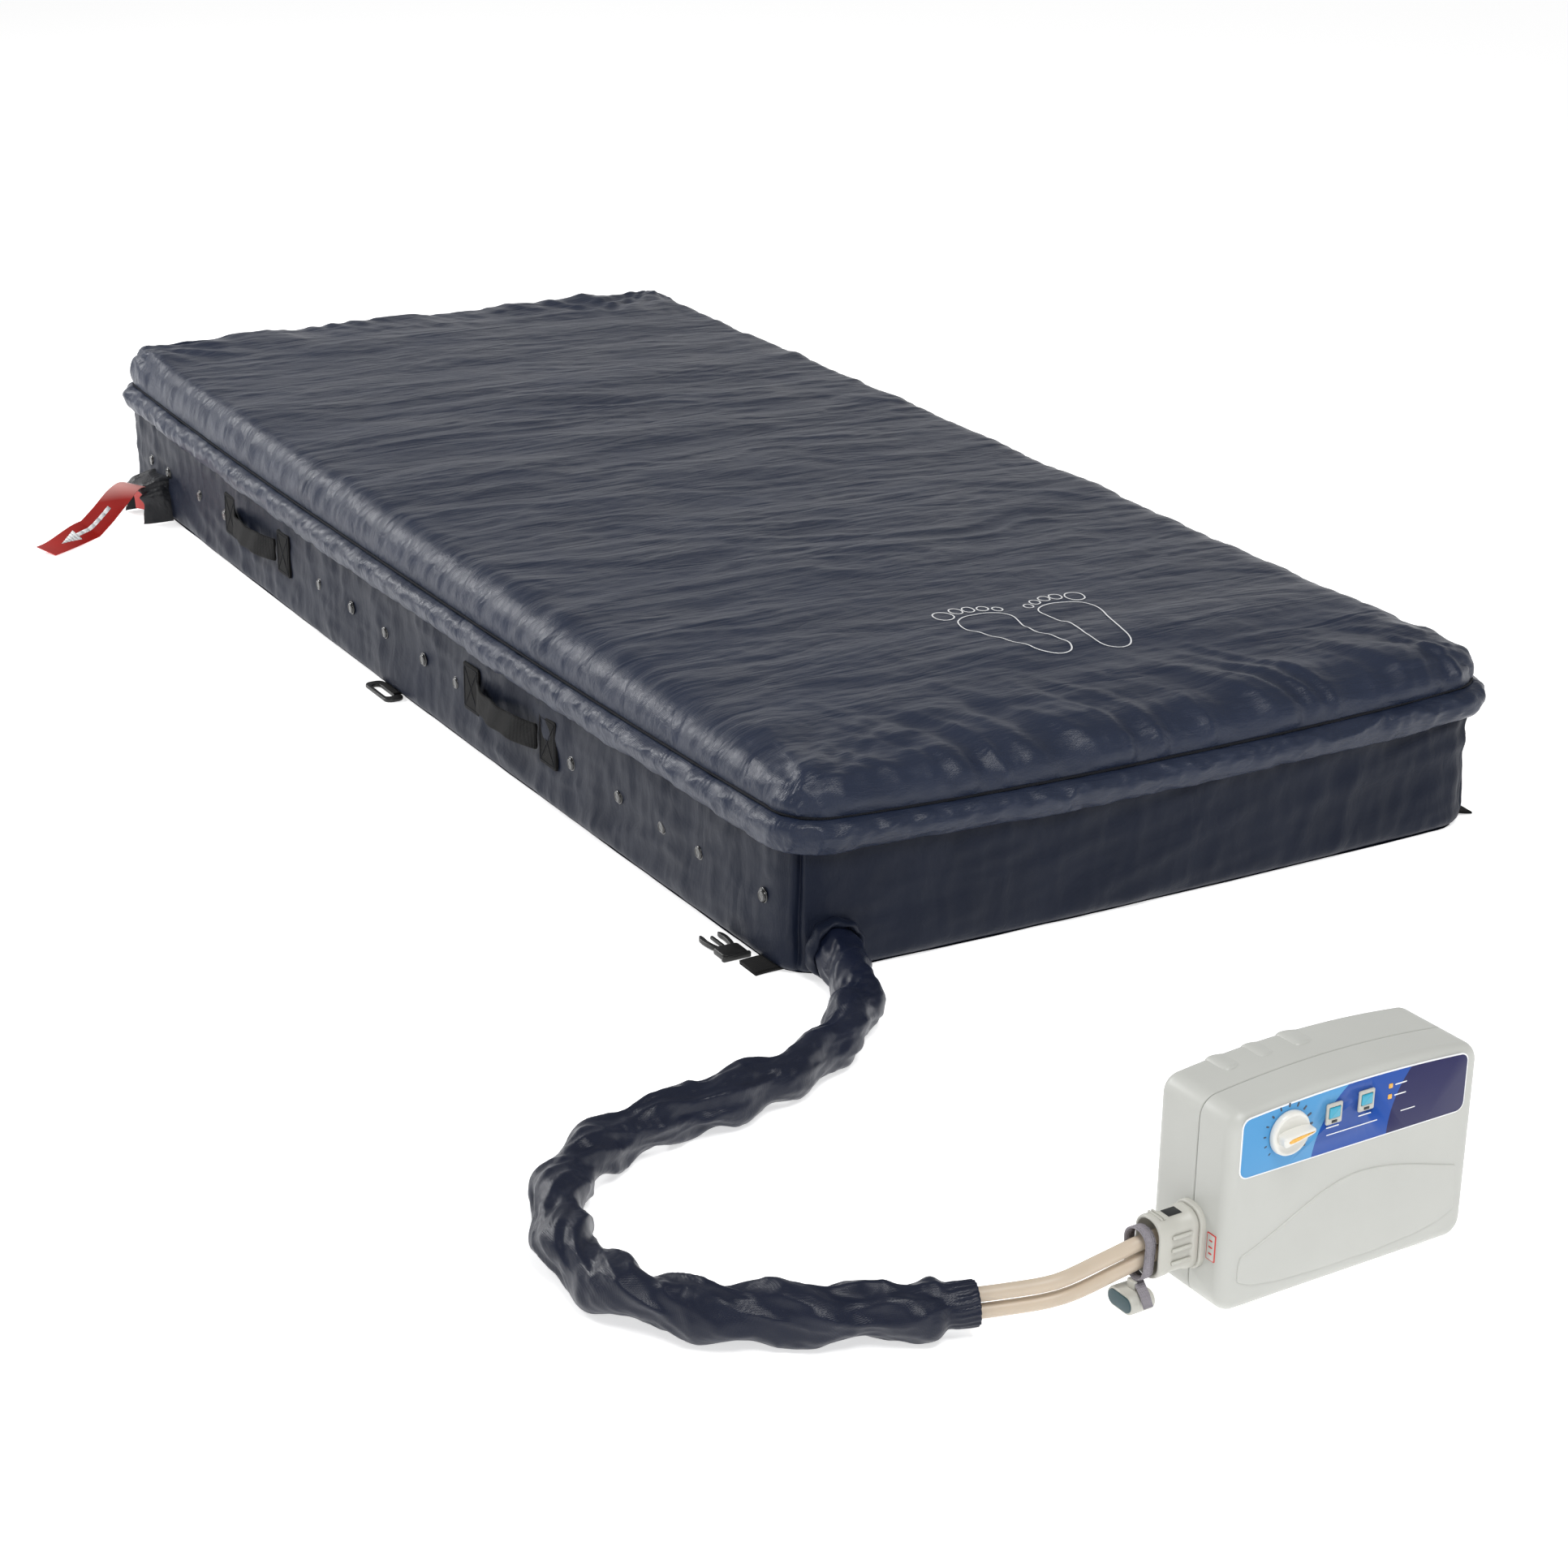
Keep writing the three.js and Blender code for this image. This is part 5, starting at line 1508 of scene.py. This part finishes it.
def add_connector():
    """Outlet flange, the hoses' connector with its strap, and the cap on its tether."""
    cy, cz = OUTLET
    flange = swept("flange", rounded(0.037, 0.06, 0.016, 9, cy, cz), "x", 0.001, -0.0052,
                   0.0, 0.0018, 4)
    pump_piece(joined("outlet_flange", flange), CONNECTOR_GREY, "grey_plastic", "pump",
               "outlet_socket")

    outer = rounded(0.034, 0.056, 0.0145, 10, cy, cz)
    inner = rounded(0.0275, 0.0495, 0.012, 10, cy, cz)
    rings = [laid(offset_in(outer, inset), "x", x) for inset, x in (
        (0.001, -0.0056), (0, -0.0066), (0, -0.0125), (0.0016, -0.014), (0.0018, -0.03),
        (0.0006, -0.0345), (0.0002, -0.044), (0.0008, -0.0462))]
    rings += [laid(offset_in(inner, inset), "x", x)
              for inset, x in ((-0.0008, -0.0464), (0, -0.045), (0, -0.018))]
    shell = sharpen(fix_normals(loft("connector_shell", rings)), 45)
    extras = []
    for way in (-1, 1):
        low, high = sorted((cy + way * 0.0158, cy + way * 0.018))
        extras += [box_piece("rib", (-0.0335, low, cz + dz - 0.0016),
                             (-0.013, high, cz + dz + 0.0016), 0.0008)
                   for dz in (-0.012, 0.0, 0.012)]
    extras += [box_piece("ridge", (x - 0.0009, cy - 0.009, cz + 0.0265),
                         (x + 0.0009, cy + 0.009, cz + 0.0288), 0.0007)
               for x in (-0.04, -0.0365)]
    pump_piece(joined("hose_connector_shell", shell, *extras), CONNECTOR_GREY, "grey_plastic",
               ROOT, "hose_connector")
    # painted shade: a thin near-black box on top of the connector stands in for the shade in its
    # latch slot
    slot = box_piece("latch_slot", (-0.03, cy - 0.0055, cz + 0.0262),
                     (-0.016, cy + 0.0055, cz + 0.0268), 0.0002)
    pump_piece(joined("connector_latch_shade", slot), SCREW_BLACK_AND_SLOT_SHADE, "black_plastic", ROOT)

    strap_x, half_width = -0.0525, 0.005
    loop = resample(rounded(0.0262, 0.0462, 0.0128, 10, cy + 0.002, cz - 0.004), 90)
    waver = 0.0008 * np.sin(circle(len(loop)) * 2)
    rings = []
    for dx, out in ((-half_width, -0.0008), (half_width, -0.0008), (half_width, 0.001),
                    (-half_width, 0.001)):
        rings.append(laid(offset_in(loop, -out), "x", strap_x + dx + waver))
    band = sharpen(fix_normals(loft("strap_band", rings, wrap=True)), 40)
    tail_z = cz - 0.029
    tail = ribbon("strap_tail", [(strap_x, cy + 0.004, tail_z + 0.002),
                                 (-0.0545, cy - 0.004, tail_z - 0.0025),
                                 (-0.057, cy - 0.014, tail_z - 0.007),
                                 (-0.059, cy - 0.022, tail_z - 0.014)], (1, 0, 0),
                  [(0, -0.3, 0.95), (0, -0.45, 0.9), (0, -0.6, 0.8), (0, -0.7, 0.7)],
                  2 * half_width, 0.0016)
    pump_piece(joined("hose_strap", band, tail), GREY_WEBBING, "grey_webbing", ROOT,
               "connector_strap")

    cap_y, cap_z = cy + 0.002, 0.02
    rings = [laid(rounded(width, height, height / 2 - 0.0001, 10, cap_y, cap_z), "x", x)
             for width, height, x in ((0.028, 0.012, -0.058), (0.028, 0.012, -0.0462),
                                      (0.0325, 0.0165, -0.046), (0.034, 0.018, -0.047),
                                      (0.034, 0.018, -0.0685), (0.0332, 0.0172, -0.0697),
                                      (0.0315, 0.0155, -0.07))]
    cup = sharpen(fix_normals(loft("cap_cup", rings)), 40)
    tab = box_piece("cap_tab", (-0.06, cap_y - 0.005, 0.028),
                    (-0.056, cap_y + 0.005, 0.0368), 0.0012)
    pump_piece(joined("cap_cup_and_tab", cup, tab), CONNECTOR_GREY, "grey_plastic",
               "transport_cap", "transport_cap")
    face = swept("cap_face", rounded(0.03, 0.014, 0.0069, 10, cap_y, cap_z), "x", -0.0695,
                 -0.0712, 0.0, 0.0008, 3)
    pump_piece(joined("cap_dark_face", face), TEAL_DARK, "grey_plastic", "transport_cap")


def add_pump_back():
    """Bed hooks, mains inlet and rubber feet, and the colours of what is inside."""
    back, pivot = PUMP_DEPTH + 0.0003, 0.158
    hook = [(0.0002, 0.004), (0.0002, -0.092), (0.0262, -0.092), (0.0262, -0.08),
            (0.0215, -0.08), (0.02, -0.0855), (0.0072, -0.0855), (0.0072, 0.004)]
    hook = resample(chaikin([(back + y, pivot + z) for y, z in hook]), 120)
    for name, x in (("hook_left", 0.062), ("hook_right", 0.178)):
        arm = swept("arm", hook, "x", x - 0.013, x + 0.013, 0.0012, 0.0012, 3)
        barrel = turned("barrel", [(0.004, x - 0.017), (0.005, x - 0.0162),
                                   (0.005, x + 0.0162), (0.004, x + 0.017)],
                        (0, back + 0.005, pivot), "x", 28)
        pump_piece(joined(name + "_arm", arm, barrel), PUMP_GREY, "grey_plastic", name, name)

    inlet_x, inlet_z, rim = 0.217, 0.04, PUMP_DEPTH + 0.003
    outer = rounded(0.05, 0.034, 0.004, 5, inlet_x, inlet_z)
    inner = rounded(0.026, 0.02, 0.003, 5, inlet_x, inlet_z)
    rings = [laid(outline, "y", y) for outline, y in (
        (outer, back), (outer, rim - 0.0008), (offset_in(outer, 0.0008), rim),
        (offset_in(inner, -0.0006), rim), (inner, rim - 0.0006), (inner, 0.083))]
    socket = sharpen(fix_normals(loft("inlet", rings, cap_first=False)), 40)
    screws = [screw((x, rim, inlet_z), ((0.0028, -0.0004), (0.0028, 0.0006), (0.0016, 0.001),
                                        (0.0004, 0.0009)), 20) for x in (0.1975, 0.2365)]
    pump_piece(joined("inlet_socket", socket, *screws), BLACK_PLASTIC, "black_plastic", "pump",
               "mains_inlet")
    pins = [box_piece("pin", (inlet_x + dx - 0.0022, 0.084, inlet_z + dz - 0.001),
                      (inlet_x + dx + 0.0022, 0.094, inlet_z + dz + 0.001), 0.0005)
            for dx, dz in ((-0.007, -0.003), (0.0, 0.003), (0.007, -0.003))]
    pump_piece(joined("inlet_pins", *pins), STEEL, "steel", "pump")

    foot = [(0.008, 0.0002), (0.009, 0.001), (0.009, FOOT_HEIGHT - 0.0004),
            (0.0075, FOOT_HEIGHT + 0.0004)]
    feet = [turned("foot", foot, (x, y, 0), "z", 32) for y in (0.024, 0.072)
            for x in (0.04, 0.233)]
    pump_piece(joined("rubber_foot_discs", *feet), FOOT_RUBBER, "foot_rubber", "pump",
               "rubber_feet")

    board = plastic("board_green", srgb("1f5a3a"), 0.4, 0.00002)
    for name, material in (("compressor", STEEL), ("rotary_valve", CONNECTOR_GREY),
                           ("circuit_board", board)):
        paint(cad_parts[name], material)


# ------------------------------------------------------------------ stage


def add_stage():
    """Pale floor, three soft lights, and a white sky that dims overhead."""
    reach = 30
    floor = new_mesh("floor", [(-reach, -reach, 0), (reach, -reach, 0), (reach, reach, 0),
                               (-reach, reach, 0)], [(0, 1, 2, 3)])
    nodes = Nodes("floor_paint", (0.88, 0.88, 0.88), 0.9)
    nodes.set(Emission_Strength=0.62, Emission_Color=(1, 1, 1, 1), Specular_IOR_Level=0.1)
    paint(floor, nodes.material)

    for name, place, target, size, power in (
            ("key", (-2.4, 2.9, 2.3), (0, -0.3, 0.1), (2.2, 0.8), 115),
            ("top", (-0.8, -3.0, 3.0), (-0.1, -1.1, 0), (1.4, 1.2), 70),
            ("left_fill", (-4.2, -2.0, 1.3), (-0.3, -0.6, 0.1), (1.8, 1.0), 5)):
        data = bpy.data.lights.new(name, "AREA")
        data.shape = "RECTANGLE"
        data.size, data.size_y = size
        data.energy = power
        lamp = bpy.data.objects.new(name, data)
        lamp.location = place
        aim = Vector(target) - Vector(place)
        lamp.rotation_euler = aim.to_track_quat("-Z", "Y").to_euler()
        bpy.context.scene.collection.objects.link(lamp)

    world = bpy.data.worlds.new("sky")
    world.use_nodes = True
    tree = world.node_tree
    sky = tree.nodes["Background"]
    sky.inputs["Color"].default_value = (1, 1, 1, 1)
    coords = tree.nodes.new("ShaderNodeTexCoord")
    split = tree.nodes.new("ShaderNodeSeparateXYZ")
    fade = tree.nodes.new("ShaderNodeMapRange")
    for key, value in (("From Min", 0.1), ("From Max", 0.3), ("To Min", 1.0),
                       ("To Max", 0.34)):
        fade.inputs[key].default_value = value
    tree.links.new(coords.outputs["Generated"], split.inputs[0])
    tree.links.new(split.outputs["Z"], fade.inputs["Value"])
    tree.links.new(fade.outputs[0], sky.inputs["Strength"])
    bpy.context.scene.world = world
    bpy.context.scene.view_settings.view_transform = "Standard"


# ------------------------------------------------------------------ build

add_camera()
add_sleeve()
add_hoses()
add_printed_soles(add_top_cover())
add_flap()
add_seam_cord()
add_base_cover()
add_filling()
add_zip()
add_side_fittings()
add_straps()
add_quick_deflate()
add_sleeve_mouth()
add_pump_shells()
add_control_panel()
add_side_label()
add_connector()
add_pump_back()
add_stage()
